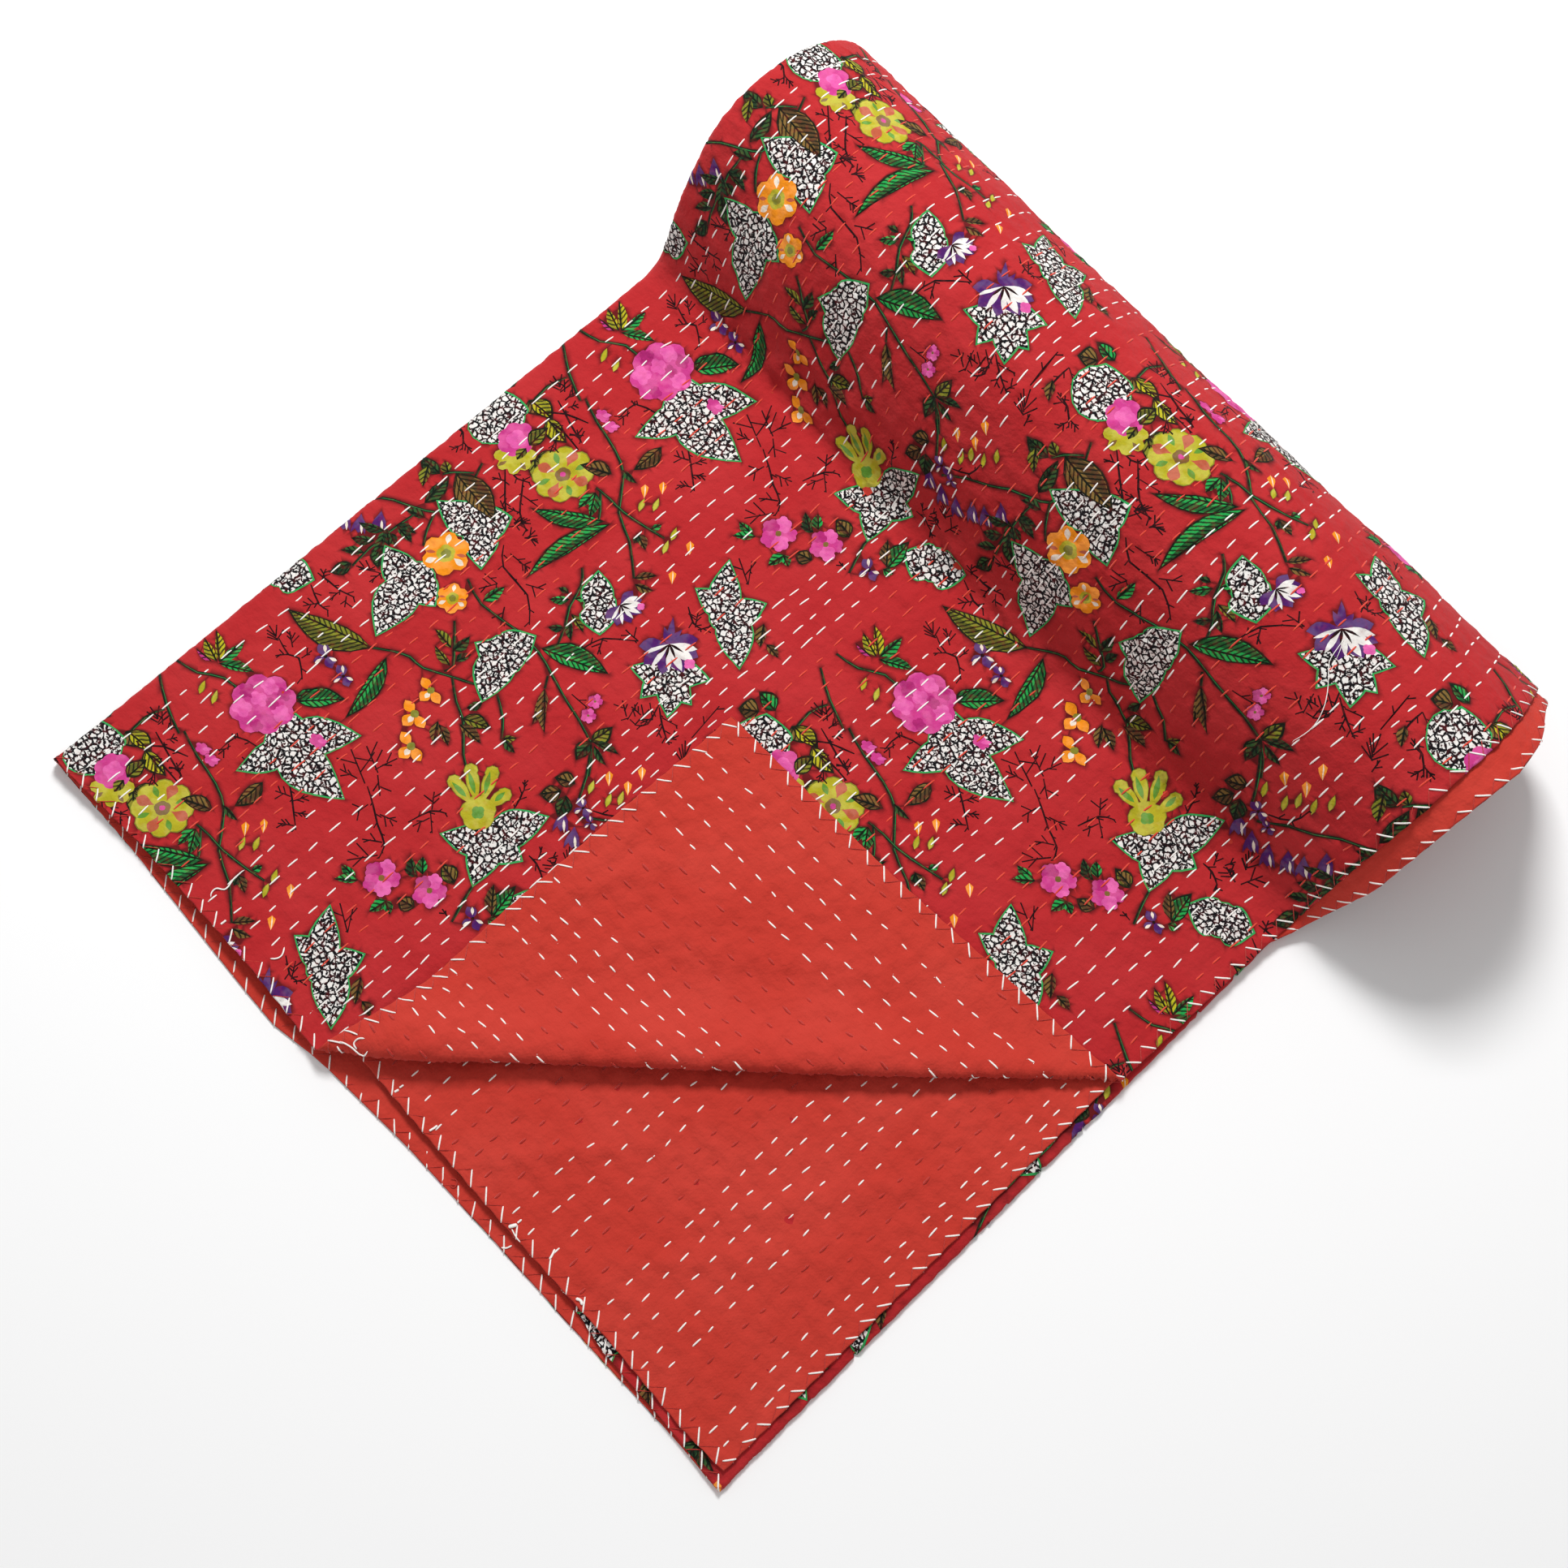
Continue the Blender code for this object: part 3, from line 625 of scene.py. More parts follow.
def scalloped(w, run):
    """The hems are drawn in a little at each hem stitch: a raised cosine along the edge."""
    pull = SCALLOP * np.exp(-run / SCALLOP_REACH)
    pulled_run = run + pull * (1 + np.cos(2 * math.pi * w / HEM_PITCH)) / 2
    wave = (1 + np.cos(2 * math.pi * run / HEM_PITCH)) / 2
    first = SCALLOP * np.exp(-w / SCALLOP_REACH) * wave
    last = SCALLOP * np.exp(-(CLOTH_WIDTH - w) / SCALLOP_REACH) * wave
    return w + first - last, pulled_run


def on_face(w, run, face, proud=0.0):
    """Place on the plain or printed face, standing proud of it, and the way out of that face: the
    middle, moved along the plain way by the ripples, creases, wrinkles and half the thickness."""
    ripple, half = relief(w, run)
    moved_w, moved_run = scalloped(w, run)
    way = plain_way(moved_w, moved_run)
    inside = smoothstep(from_hem(w, run) / WRINKLES_FROM_HEM)
    off = ripple + outward(w, run) + crumple(w, run) * inside + face * (half + proud)
    placed = middle(moved_w, moved_run) + way * off[:, None]
    placed[:, 2] = np.maximum(placed[:, 2], FLOOR_GAP)
    return placed, way * face


# ---- making meshes

FIELDS = {"FLOAT_COLOR": "color", "FLOAT_VECTOR": "vector", "FLOAT": "value"}


def mesh_piece(name, points, corners, sizes, materials, slots=None, attributes=(), uv=None):
    """A mesh object from whole arrays: the corners of all faces in a row, and each face's size."""
    mesh = bpy.data.meshes.new(name)
    mesh.vertices.add(len(points))
    mesh.vertices.foreach_set("co", np.asarray(points, dtype=np.float32).ravel())
    mesh.loops.add(len(corners))
    mesh.loops.foreach_set("vertex_index", np.asarray(corners, dtype=np.int32))
    mesh.polygons.add(len(sizes))
    starts = np.concatenate(([0], np.cumsum(sizes)[:-1])).astype(np.int32)
    mesh.polygons.foreach_set("loop_start", starts)
    for material in materials:
        mesh.materials.append(material)
    if slots is not None:
        mesh.polygons.foreach_set("material_index", np.asarray(slots, dtype=np.int32))
    mesh.update(calc_edges=True)
    mesh.shade_smooth()
    if uv is not None:
        layer = mesh.uv_layers.new(name="cloth")
        layer.data.foreach_set("uv", np.asarray(uv, dtype=np.float32).ravel())
    for label, kind, domain, values in attributes:
        layer = mesh.attributes.new(label, kind, domain)
        layer.data.foreach_set(FIELDS[kind], np.asarray(values, dtype=np.float32).ravel())
    piece = bpy.data.objects.new(name, mesh)
    bpy.context.scene.collection.objects.link(piece)
    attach(piece, "root")
    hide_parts("quilt")
    return piece


def grid_faces(rows, columns):
    """Corner indices of a grid's quads, its points in order along each row."""
    first = (np.arange(rows - 1)[:, None] * columns + np.arange(columns - 1)).ravel()
    return np.column_stack((first, first + 1, first + columns + 1, first + columns))


def cloth_grid(name, across, along, face, material):
    """One face of the cloth over a grid of distances across and along it."""
    w, run = (part.ravel() for part in np.meshgrid(across, along))
    points, _ = on_face(w, run, face)
    quads = grid_faces(len(along), len(across))
    if face == PRINTED:
        quads = quads[:, ::-1]
    corners = quads.ravel()
    uv = np.column_stack((w, run))[corners]
    return mesh_piece(name, points, corners, np.full(len(quads), 4), [material], uv=uv)


# ---- threads and hems

THREAD_SIDES = 5


def tube_mesh(name, paths, ups, widths, heights, materials, slots):
    """Many flat tubes in one mesh, each along its own row of points, closed to a point at its ends.

    Each ring is an ellipse across the path: half width to the side, half height upwards."""
    count, rings = paths.shape[:2]
    way = np.gradient(paths, axis=1)
    side = np.cross(ups, way)
    side /= np.linalg.norm(side, axis=2, keepdims=True)
    up = np.cross(way, side)
    up /= np.linalg.norm(up, axis=2, keepdims=True)
    angle = 2 * math.pi * np.arange(THREAD_SIDES) / THREAD_SIDES
    ring = (
        side[:, 1:-1, None] * (np.cos(angle)[:, None] * widths[:, 1:-1, None, None])
        + up[:, 1:-1, None] * (np.sin(angle)[:, None] * heights[:, 1:-1, None, None])
        + paths[:, 1:-1, None]
    )
    inner = rings - 2
    body = ring.reshape(count, inner * THREAD_SIDES, 3)
    points = np.concatenate((paths[:, :1], body, paths[:, -1:]), axis=1)
    per = points.shape[1]
    here = np.arange(THREAD_SIDES) + 1
    after = here % THREAD_SIDES + 1
    quads = np.concatenate([
        np.column_stack((here, after, after + THREAD_SIDES, here + THREAD_SIDES)) + k * THREAD_SIDES
        for k in range(inner - 1)
    ])
    last = (inner - 1) * THREAD_SIDES
    tips = np.concatenate((
        np.column_stack((np.zeros(THREAD_SIDES, int), after, here)),
        np.column_stack((np.full(THREAD_SIDES, per - 1), here + last, after + last)),
    ))
    one = np.concatenate((quads.ravel(), tips.ravel()))
    one_sizes = np.concatenate((np.full(len(quads), 4), np.full(len(tips), 3)))
    corners = (one[None] + per * np.arange(count)[:, None]).ravel()
    sizes = np.tile(one_sizes, count)
    return mesh_piece(
        name, points.reshape(-1, 3), corners, sizes, materials,
        slots=np.repeat(slots, len(one_sizes)),
    )


def laid_threads(name, w, run, face, proud, widths, heights, materials, slots):
    """Threads laid on a face along rows of cloth places, each standing as proud as given."""
    shape = w.shape
    points, ups = on_face(w.ravel(), run.ravel(), face, proud.ravel())
    return tube_mesh(name, points.reshape(*shape, 3), ups.reshape(*shape, 3), widths, heights,
                     materials, slots)


# ---- materials

def linear(red, green, blue):
    """An sRGB colour of 0 to 255 as the linear colour that shaders take."""
    return tuple(
        part / 12.92 if part <= 0.04045 else ((part + 0.055) / 1.055) ** 2.4
        for part in (red / 255, green / 255, blue / 255)
    ) + (1.0,)


GROUND = linear(180, 39, 42)
WEAVE_PITCH, WEAVE_HEIGHT = 0.0008, 0.00004
YARN_NOISE, YARN_HEIGHT = 900.0, 0.00008
PUCKER_NOISE, PUCKER = 105.0, 0.0022


class Shader:
    """A material's nodes, made and linked by short calls."""

    def __init__(self, name, roughness=0.9, sheen=0.06):
        self.material = bpy.data.materials.new(name)
        self.material.use_nodes = True
        self.tree = self.material.node_tree
        self.surface = self.tree.nodes["Principled BSDF"]
        for socket, value in (("Roughness", roughness), ("Sheen Weight", sheen),
                              ("Sheen Roughness", 0.5), ("Specular IOR Level", 0.12)):
            self.surface.inputs[socket].default_value = value

    def node(self, kind, inputs=(), **settings):
        """A node with its settings, and values or links for its inputs."""
        made = self.tree.nodes.new(kind)
        for label, value in settings.items():
            setattr(made, label, value)
        for socket, value in dict(inputs).items():
            target = made.inputs[socket]
            if isinstance(value, bpy.types.NodeSocket):
                self.tree.links.new(value, target)
            else:
                target.default_value = value
        return made

    def uv(self):
        """The cloth's own places: distance across it and along it."""
        return self.node("ShaderNodeUVMap", uv_map="cloth").outputs["UV"]

    def noise(self, vector, scale, detail=2.0):
        """Soft noise, so many times to the metre."""
        made = self.node("ShaderNodeTexNoise", {"Vector": vector, "Scale": scale, "Detail": detail})
        return made.outputs["Fac"]

    def math(self, operation, first, second=0.0, third=0.0):
        """One sum of two or three numbers."""
        made = self.node("ShaderNodeMath", {0: first, 1: second, 2: third}, operation=operation)
        return made.outputs[0]

    def vector(self, operation, first, inputs):
        """One sum of vectors, with the values or links of its other inputs."""
        made = self.node("ShaderNodeVectorMath", {0: first, **inputs}, operation=operation)
        return made.outputs[0]

    def cell_edges(self, vector, scale):
        """Distance to the nearest edge of uneven cells."""
        made = self.node("ShaderNodeTexVoronoi", {"Vector": vector, "Scale": scale},
                         feature="DISTANCE_TO_EDGE", voronoi_dimensions="2D")
        return made.outputs["Distance"]

    def mix(self, share, first, second):
        """The first colour, turned into the second by a share."""
        made = self.node("ShaderNodeMix", {0: share, 6: first, 7: second}, data_type="RGBA")
        return made.outputs[2]

    def ramp(self, value, low, high):
        """0 at the low value, 1 at the high one and a soft step between."""
        made = self.node("ShaderNodeMapRange", {0: value, 1: low, 2: high},
                         interpolation_type="SMOOTHSTEP")
        return made.outputs[0]

    def attribute(self, label, output):
        """What the mesh says of itself under a name."""
        return self.node("ShaderNodeAttribute", attribute_name=label).outputs[output]

    def ink(self):
        """The ink of the face's own patch."""
        return self.attribute("ink", "Color")

    def slubs(self, colour, vector, scale, share, deep):
        """Darker streaks of uneven yarn: noise drawn out along one way of the cloth."""
        drawn = self.node("ShaderNodeMapping", {"Vector": vector, "Scale": scale})
        streak = self.math("MULTIPLY", self.noise(drawn.outputs[0], 1.0), share)
        return self.mix(streak, colour, deep)

    def colour(self, socket):
        """Gives the surface its colour."""
        self.tree.links.new(socket, self.surface.inputs["Base Color"])

    def bump(self, height, strength, distance):
        """Tilts the surface by a height."""
        made = self.node("ShaderNodeBump", {"Strength": strength, "Distance": distance,
                                            "Height": height})
        self.tree.links.new(made.outputs[0], self.surface.inputs["Normal"])

    def weave(self, vector):
        """Plain weave, in metres of height: two sine waves multiplied, one along each of the
        cloth's ways, with uneven yarn and soft puckers as noise."""
        parts = self.node("ShaderNodeSeparateXYZ", {0: vector})
        waves = [
            self.math("SINE", self.math("MULTIPLY", parts.outputs[axis], 2 * math.pi / WEAVE_PITCH))
            for axis in (0, 1)
        ]
        height = self.math("MULTIPLY", self.math("MULTIPLY", *waves), WEAVE_HEIGHT)
        yarn = self.noise(vector, YARN_NOISE)
        height = self.math("MULTIPLY_ADD", yarn, YARN_HEIGHT, height)
        pucker = self.noise(vector, PUCKER_NOISE, 3.0)
        self.bump(self.math("MULTIPLY_ADD", pucker, PUCKER, height), 1.0, 1.0)


def cloth_material(name, base, patch, deep):
    """Matte cotton: a mottled base colour, slubs along the yarn and a fine plain weave."""
    shader = Shader(name)
    uv = shader.uv()
    mottle = shader.ramp(shader.noise(uv, 14.0, 4.0), 0.35, 0.68)
    colour = shader.mix(mottle, linear(*base), linear(*patch))
    shader.colour(shader.slubs(colour, uv, (1600.0, 90.0, 1.0), 0.35, linear(*deep)))
    shader.weave(uv)
    return shader.material


def thread_material(name, colour, shade):
    """Cotton thread: fine flecks of a darker shade, which also roughen it, and a soft sheen."""
    shader = Shader(name, roughness=0.6, sheen=0.3)
    fleck = shader.noise(shader.node("ShaderNodeTexCoord").outputs["Object"], 1800.0)
    shader.colour(shader.mix(shader.ramp(fleck, 0.35, 0.75), linear(*colour), linear(*shade)))
    shader.bump(fleck, 0.3, 0.0002)
    return shader.material


def print_finish(shader, colour):
    """What every ink shares: the ground shows through in places, and the weave stays on top."""
    uv = shader.uv()
    worn = shader.math("MULTIPLY", shader.ramp(shader.noise(uv, 260.0, 3.0), 0.45, 0.75), 0.16)
    shader.colour(shader.mix(worn, colour, GROUND))
    shader.weave(uv)
    return shader.material


def ground_material():
    """The printed face's crimson: mottled, with a soft dark halo of ink round the motifs."""
    shader = Shader("printed_ground")
    uv = shader.uv()
    mottle = shader.ramp(shader.noise(uv, 16.0, 4.0), 0.35, 0.68)
    colour = shader.mix(mottle, GROUND, linear(188, 48, 50))
    colour = shader.slubs(colour, uv, (90.0, 1500.0, 1.0), 0.4, linear(158, 26, 32))
    halo = shader.math("POWER", shader.attribute("halo", "Fac"), 1.6)
    shader.colour(shader.mix(shader.math("MULTIPLY", halo, 0.8), colour, linear(60, 12, 16)))
    shader.weave(uv)
    return shader.material


def crackle_material():
    """White leaves with a net of fine dark lines: the edges of uneven cells pushed about by noise,
    broken by gaps, with spurs of a finer net here and there."""
    shader = Shader("crackled_leaf")
    uv = shader.uv()
    push = shader.node("ShaderNodeTexNoise", {"Vector": uv, "Scale": 420.0, "Detail": 1.0})
    off = shader.vector("SUBTRACT", push.outputs["Color"], {1: (0.5, 0.5, 0.5)})
    where = shader.vector("ADD", uv, {1: shader.vector("SCALE", off, {3: 0.0026})})
    uneven = shader.math("MULTIPLY_ADD", shader.noise(uv, 210.0, 1.0), -0.26,
                         shader.cell_edges(where, 262.0))
    gap = shader.ramp(shader.noise(uv, 600.0, 1.0), 0.28, 0.36)
    line = shader.math("MULTIPLY", shader.ramp(uneven, 0.070, 0.000), gap)
    spur = shader.math("MULTIPLY", shader.ramp(shader.cell_edges(where, 470.0), 0.22, 0.14),
                       shader.ramp(shader.noise(uv, 330.0, 1.0), 0.52, 0.57))
    line = shader.math("MAXIMUM", line, spur)
    return print_finish(shader, shader.mix(line, shader.ink(), linear(16, 14, 18)))


def vein_material():
    """Leaves with a dark middle vein and side veins that lean to the tip: a sine of the way along,
    less the way across, where the detail attribute gives both."""
    shader = Shader("veined_leaf")
    parts = shader.node("ShaderNodeSeparateXYZ", {0: shader.attribute("detail", "Vector")})
    along, across = parts.outputs[0], shader.math("ABSOLUTE", parts.outputs[1])
    lean = shader.math("SUBTRACT", along, shader.math("MULTIPLY", across, 1.1))
    wobble = shader.math("MULTIPLY", shader.noise(shader.uv(), 500.0), 1.3)
    wave = shader.math("SINE", shader.math("MULTIPLY", shader.math("ADD", lean, wobble), 1.7))
    side = shader.math("MULTIPLY", shader.ramp(wave, 0.10, 0.55), 0.9)
    line = shader.math("MAXIMUM", shader.ramp(across, 0.75, 0.40), side)
    return print_finish(shader, shader.mix(line, shader.ink(), linear(12, 20, 12)))


def petal_material():
    """Petals in watercolour: lighter and darker pools of the same ink."""
    shader = Shader("petal")
    pool = shader.ramp(shader.noise(shader.uv(), 110.0, 2.0), 0.42, 0.58)
    ink = shader.ink()
    light = shader.mix(0.05, ink, (1.0, 0.85, 0.80, 1.0))
    dark = shader.mix(0.12, ink, linear(90, 24, 40))
    return print_finish(shader, shader.mix(pool, light, dark))


def ink_material():
    """Plain ink of one colour, for stems, twigs and outlines."""
    shader = Shader("flat_ink")
    return print_finish(shader, shader.ink())


GROUND_SLOT, CRACKLE_SLOT, VEIN_SLOT, PETAL_SLOT, INK_SLOT = range(5)
PRINT_MATERIALS = [
    ground_material(), crackle_material(), vein_material(), petal_material(), ink_material(),
]
BACK_CLOTH = cloth_material("plain_back", (196, 58, 46), (203, 66, 54), (160, 38, 31))
WHITE = thread_material("white_thread", (254, 251, 246), (236, 228, 220))
RED = thread_material("red_thread", (228, 72, 50), (208, 56, 40))
DARK_RED = thread_material("dark_red_thread", (194, 52, 41), (158, 34, 27))


# ---- the print

# The print repeats over the cloth. Its places are in millimetres: across from the fold's far side
# towards the top layer's hem, and along from the near end.
REPEAT_ALONG = (0, 314)
REPEAT_ACROSS = (269, -29)
REPEATS_ACROSS = range(-9, 3)
REPEATS_ALONG = range(-4, 6)
MILLIMETRES = 1000
PRINT_EDGE = TOP_WIDTH + LEFT_X
ROLL_DRIFT, DRIFT_ACROSS, DRIFT_FROM, DRIFT_OVER = 0.028, 0.22, 0.43, 0.12
DRIFT_STEPS = 6
BIN = 0.008
WELD = 1e-6
# Places of the close rows at a hem.
HEM_STEPS = (0.0, 0.0002, 0.0005, 0.0009)

# Vines, as points along their way.
VINES = (
    (-266, 379, -249, 374, -228, 370, -211, 363, -194, 345, -175, 337, -155, 323),
    (-305, 79, -287, 69, -267, 62), (-305, 92, -290, 95, -276, 104, -259, 105),
    (-216, 32, -205, 33, -193, 33, -175, 36, -162, 39), (-213, 347, -203, 338, -197, 331),
    (-236, 175, -220, 187, -210, 192, -199, 193, -183, 202, -167, 210),
    (-224, 251, -206, 246, -179, 250, -159, 250, -143, 246, -125, 241, -95, 234, -80, 219),
    (-90, 229, -81, 218, -74, 206),
    (-8, 594, 0, 576, 0, 564, -3, 552, -14, 545, -27, 539, -38, 531, -51, 524, -65, 513),
    (-3, 552, 3, 540, 9, 532), (-10, 545, -12, 528, -12, 507, -10, 492),
    (-6, 586, -15, 578, -19, 572), (-17, 635, -20, 653, -16, 665),
    (-209, 227, -198, 217, -188, 207, -189, 201),
    (-183, 202, -169, 193, -157, 188, -141, 174, -131, 169), (-156, 214, -142, 206, -133, 197),
    (-182, 306, -174, 298, -168, 283, -160, 272, -155, 262), (-139, 237, -144, 244),
    (-77, 127, -74, 117, -69, 104),
)
# Leaves by style: foot, tip, width.
LEAVES = {
    "bright": (
        (-196, 335, -232, 311, 10), (-192, 336, -200, 279, 10), (-219, 181, -207, 140, 10),
        (-286, 109, -286, 128, 7), (-285, 108, -266, 119, 7), (-237, 126, -230, 139, 8),
        (-234, 125, -217, 145, 12), (-214, 30, -213, 16, 7), (-214, 30, -204, 17, 7),
        (-172, 37, -170, 44, 5), (-127, 79, -139, 78, 6), (-125, 79, -135, 69, 6),
        (-102, 109, -110, 116, 7), (-104, 84, -106, 72, 7), (-105, 83, -97, 80, 6),
        (-207, 248, -205, 264, 7), (-172, 287, -180, 278, 6), (-170, 289, -162, 300, 5),
        (-159, 253, -121, 270, 14), (-35, 640, -48, 641, 9), (-55, 123, -59, 143, 10),
        (-56, 120, -50, 123, 6),
    ),
    "olive": (
        (-231, 179, -283, 161, 16), (-299, 285, -290, 273, 7), (-266, 337, -267, 350, 9),
        (-266, 334, -264, 325, 7), (-164, 281, -150, 278, 5), (-197, 214, -213, 215, 6),
        (-189, 206, -205, 208, 5), (-95, 235, -93, 248, 8), (-158, 189, -144, 196, 8),
        (-133, 197, -127, 204, 5), (-17, 575, -25, 579, 7), (12, 620, 22, 628, 10),
        (12, 618, 24, 609, 9), (-86, 119, -98, 121, 9),
    ),
    "yellow": (
        (-287, 108, -304, 113, 6), (-286, 109, -303, 121, 6), (-288, 356, -271, 357, 9),
        (-3, 640, 16, 638, 9),
    ),
    "pink": (
        (-289, 106, -302, 105, 3),
    ),
    "brown": (
        (-209, 76, -209, 57, 9), (-217, 44, -233, 36, 8), (-176, 30, -164, 26, 6),
        (-86, 120, -98, 121, 7), (-91, 93, -100, 90, 8), (-282, 293, -243, 289, 15),
        (-139, 237, -127, 216, 7), (-139, 237, -118, 218, 6), (-155, 323, -147, 334, 5),
        (-152, 321, -141, 326, 5), (-157, 185, -139, 186, 7), (-167, 177, -158, 166, 6),
        (-165, 176, -151, 171, 6), (-80, 359, -70, 347, 7), (-69, 351, -58, 350, 6),
        (-41, 632, -49, 626, 12), (-20, 640, -10, 638, 11), (-49, 604, -42, 594, 6),
        (-85, 201, -91, 192, 9), (-83, 210, -92, 205, 8), (-56, 123, -69, 136, 7),
    ),
    "dark": (
        (-175, 30, -172, 24, 5), (-103, 106, -112, 103, 5), (-105, 105, -116, 111, 6),
        (-214, 51, -201, 51, 4), (-283, 237, -299, 229, 6), (-283, 239, -274, 221, 6),
        (-281, 244, -266, 243, 6), (-273, 260, -286, 255, 6), (-274, 232, -285, 239, 5),
        (-175, 289, -182, 287, 4), (-160, 272, -167, 265, 5), (-162, 278, -151, 269, 5),
        (-166, 290, -158, 292, 5), (-195, 213, -195, 227, 7), (-189, 210, -186, 220, 6),
        (-95, 234, -93, 222, 8), (-94, 235, -78, 241, 5), (-92, 234, -78, 231, 4),
        (-158, 204, -162, 195, 6), (-132, 198, -121, 197, 5), (-21, 571, -36, 571, 8),
        (-12, 552, -15, 572, 8), (-13, 529, 0, 534, 6), (-11, 523, -3, 520, 7),
        (-14, 513, -25, 504, 7), (-12, 503, -23, 494, 6), (-12, 492, -16, 481, 8),
        (-9, 514, 1, 503, 8), (-80, 201, -75, 191, 9),
    ),
}
# Crackled leaves: middle, size of the body, then each lobe's tip and width.
CRACKLED = (
    (-218, 103, 13, (-192, 137, 20), (-169, 105, 22), (-225, 71, 15), (-230, 118, 20)),
    (-244, 282, 10, (-276, 273, 18), (-224, 262, 17), (-237, 297, 17)),
    (-246, 226, 13, (-275, 230, 17), (-234, 187, 21), (-225, 225, 16)),
    (-156, 297, 9, (-173, 311, 15), (-143, 285, 17)),
    (-94, 297, 13, (-114, 284, 12), (-95, 275, 12), (-76, 278, 14), (-72, 293, 12), (-76, 311, 13)),
    (-172, 234, 12, (-189, 227, 14), (-159, 205, 19), (-168, 255, 18)),
    (-99, 347, 10, (-124, 371, 15), (-89, 368, 15), (-69, 329, 17), (-124, 345, 13)),
    (-89, 153, 12, (-113, 133, 15), (-77, 127, 16), (-78, 185, 18), (-69, 157, 14)),
    (-25, 619, 16, (-15, 606, 24), (-36, 634, 26)), (-37, 460, 10, (-56, 452, 19), (-20, 469, 19)),
)
# Twigs, as points along their way, and fans of short twigs: foot, tip, number.
TWIGS = (
    (-273, 144, -261, 141, -255, 144, -243, 136), (-252, 56, -267, 50, -278, 40),
    (-268, 41, -259, 42, -243, 41), (-265, 42, -252, 31), (-227, 89, -242, 84, -242, 71),
    (-198, 88, -188, 82, -173, 72), (-165, 120, -154, 115, -143, 109, -131, 104, -127, 96),
    (-132, 123, -128, 137, -120, 143), (-128, 137, -117, 129),
    (-226, 282, -215, 272, -191, 270, -176, 258), (-220, 261, -209, 262), (-219, 281, -205, 282),
    (-277, 367, -258, 362, -245, 359), (-276, 209, -263, 216), (-264, 316, -250, 304, -242, 298),
    (-143, 269, -139, 284, -123, 298), (-119, 334, -109, 329, -103, 330), (-115, 381, -105, 369),
    (-94, 271, -90, 259), (-89, 276, -80, 270), (-56, 279, -59, 304), (-125, 246, -112, 247),
    (-85, 594, -80, 580, -85, 574), (-83, 592, -74, 586, -66, 582), (-77, 589, -67, 592),
    (-48, 616, -48, 607, -47, 599), (-48, 616, -40, 612), (-42, 601, -32, 599, -23, 591),
    (-21, 474, -12, 475, -2, 476, 7, 479), (-18, 466, -5, 461, 3, 462),
    (17, 605, 25, 597, 34, 588, 46, 583), (8, 603, 15, 602, 22, 606), (26, 597, 39, 599),
    (-94, 170, -98, 181, -100, 186), (-68, 162, -61, 162, -53, 159), (-59, 168, -52, 170),
    (-63, 207, -51, 214, -49, 224),
)
FANS = (
    (-272, 143, -282, 145, 6), (-263, 146, -271, 152, 5), (-261, 141, -266, 136, 3),
    (-254, 145, -254, 152, 3), (-280, 57, -289, 64, 6), (-278, 59, -284, 64, 4),
    (-254, 43, -249, 49, 3), (-258, 36, -253, 29, 3), (-241, 83, -245, 84, 3),
    (-240, 78, -240, 70, 3), (-230, 78, -223, 79, 3), (-191, 83, -199, 79, 4),
    (-188, 82, -184, 90, 4), (-182, 78, -176, 83, 4), (-176, 73, -183, 68, 5),
    (-167, 120, -187, 128, 3), (-167, 130, -183, 135, 4), (-170, 130, -167, 143, 3),
    (-166, 129, -156, 123, 3), (-173, 119, -183, 115, 4), (-156, 113, -158, 103, 3),
    (-147, 114, -137, 117, 4), (-133, 104, -142, 98, 3), (-129, 97, -139, 84, 4),
    (-128, 138, -135, 145, 4), (-125, 134, -127, 124, 3), (-233, 296, -227, 303, 7),
    (-209, 262, -215, 253, 3), (-195, 255, -189, 245, 3), (-197, 274, -187, 279, 3),
    (-211, 281, -204, 283, 4), (-240, 297, -249, 299, 4), (-258, 311, -265, 308, 3),
    (-245, 359, -253, 362, 3), (-267, 215, -277, 210, 4), (-263, 216, -264, 208, 3),
    (-139, 284, -135, 275, 3), (-123, 298, -133, 298, 3), (-106, 328, -113, 335, 4),
    (-104, 328, -99, 336, 3), (-105, 369, -120, 376, 3), (-92, 260, -101, 264, 3),
    (-81, 271, -83, 264, 4), (-65, 267, -63, 274, 3), (-47, 578, -55, 589, 7),
    (-43, 574, -44, 581, 3), (-87, 581, -94, 581, 4), (-85, 575, -86, 586, 3),
    (-73, 585, -71, 579, 3), (-66, 582, -62, 581, 3), (-32, 599, -40, 599, 4),
    (-26, 594, -27, 587, 4), (-27, 595, -19, 594, 4), (-49, 489, -54, 498, 6),
    (-48, 481, -57, 482, 5), (-45, 482, -41, 492, 4), (-16, 473, -19, 479, 4),
    (-2, 476, -3, 468, 3), (-5, 461, -10, 454, 4), (3, 476, 8, 471, 3), (48, 579, 54, 586, 7),
    (34, 588, 27, 585, 3), (46, 584, 35, 582, 3), (-5, 655, -5, 663, 5), (0, 653, 3, 658, 4),
    (-100, 186, -104, 190, 4), (-63, 165, -66, 171, 3), (-54, 159, -50, 157, 3),
    (-59, 169, -57, 174, 3), (-72, 104, -78, 104, 3),
)

INKS = {
    "white": (232, 229, 224), "rim": (46, 158, 84), "bright": (34, 158, 74), "dark": (48, 84, 42),
    "olive": (128, 132, 40), "brown": (122, 96, 48), "yellow": (182, 176, 34),
    "pink": (206, 62, 142), "pink_light": (226, 92, 168), "pink_dark": (180, 40, 118),
    "orange": (246, 148, 18), "purple": (72, 28, 104), "wedge": (186, 92, 62),
    "black": (30, 10, 14), "deep": (26, 34, 22), "green_dot": (90, 150, 48),
    "cream": (238, 226, 208), "stem": (44, 128, 66), "outline": (20, 28, 16),
}
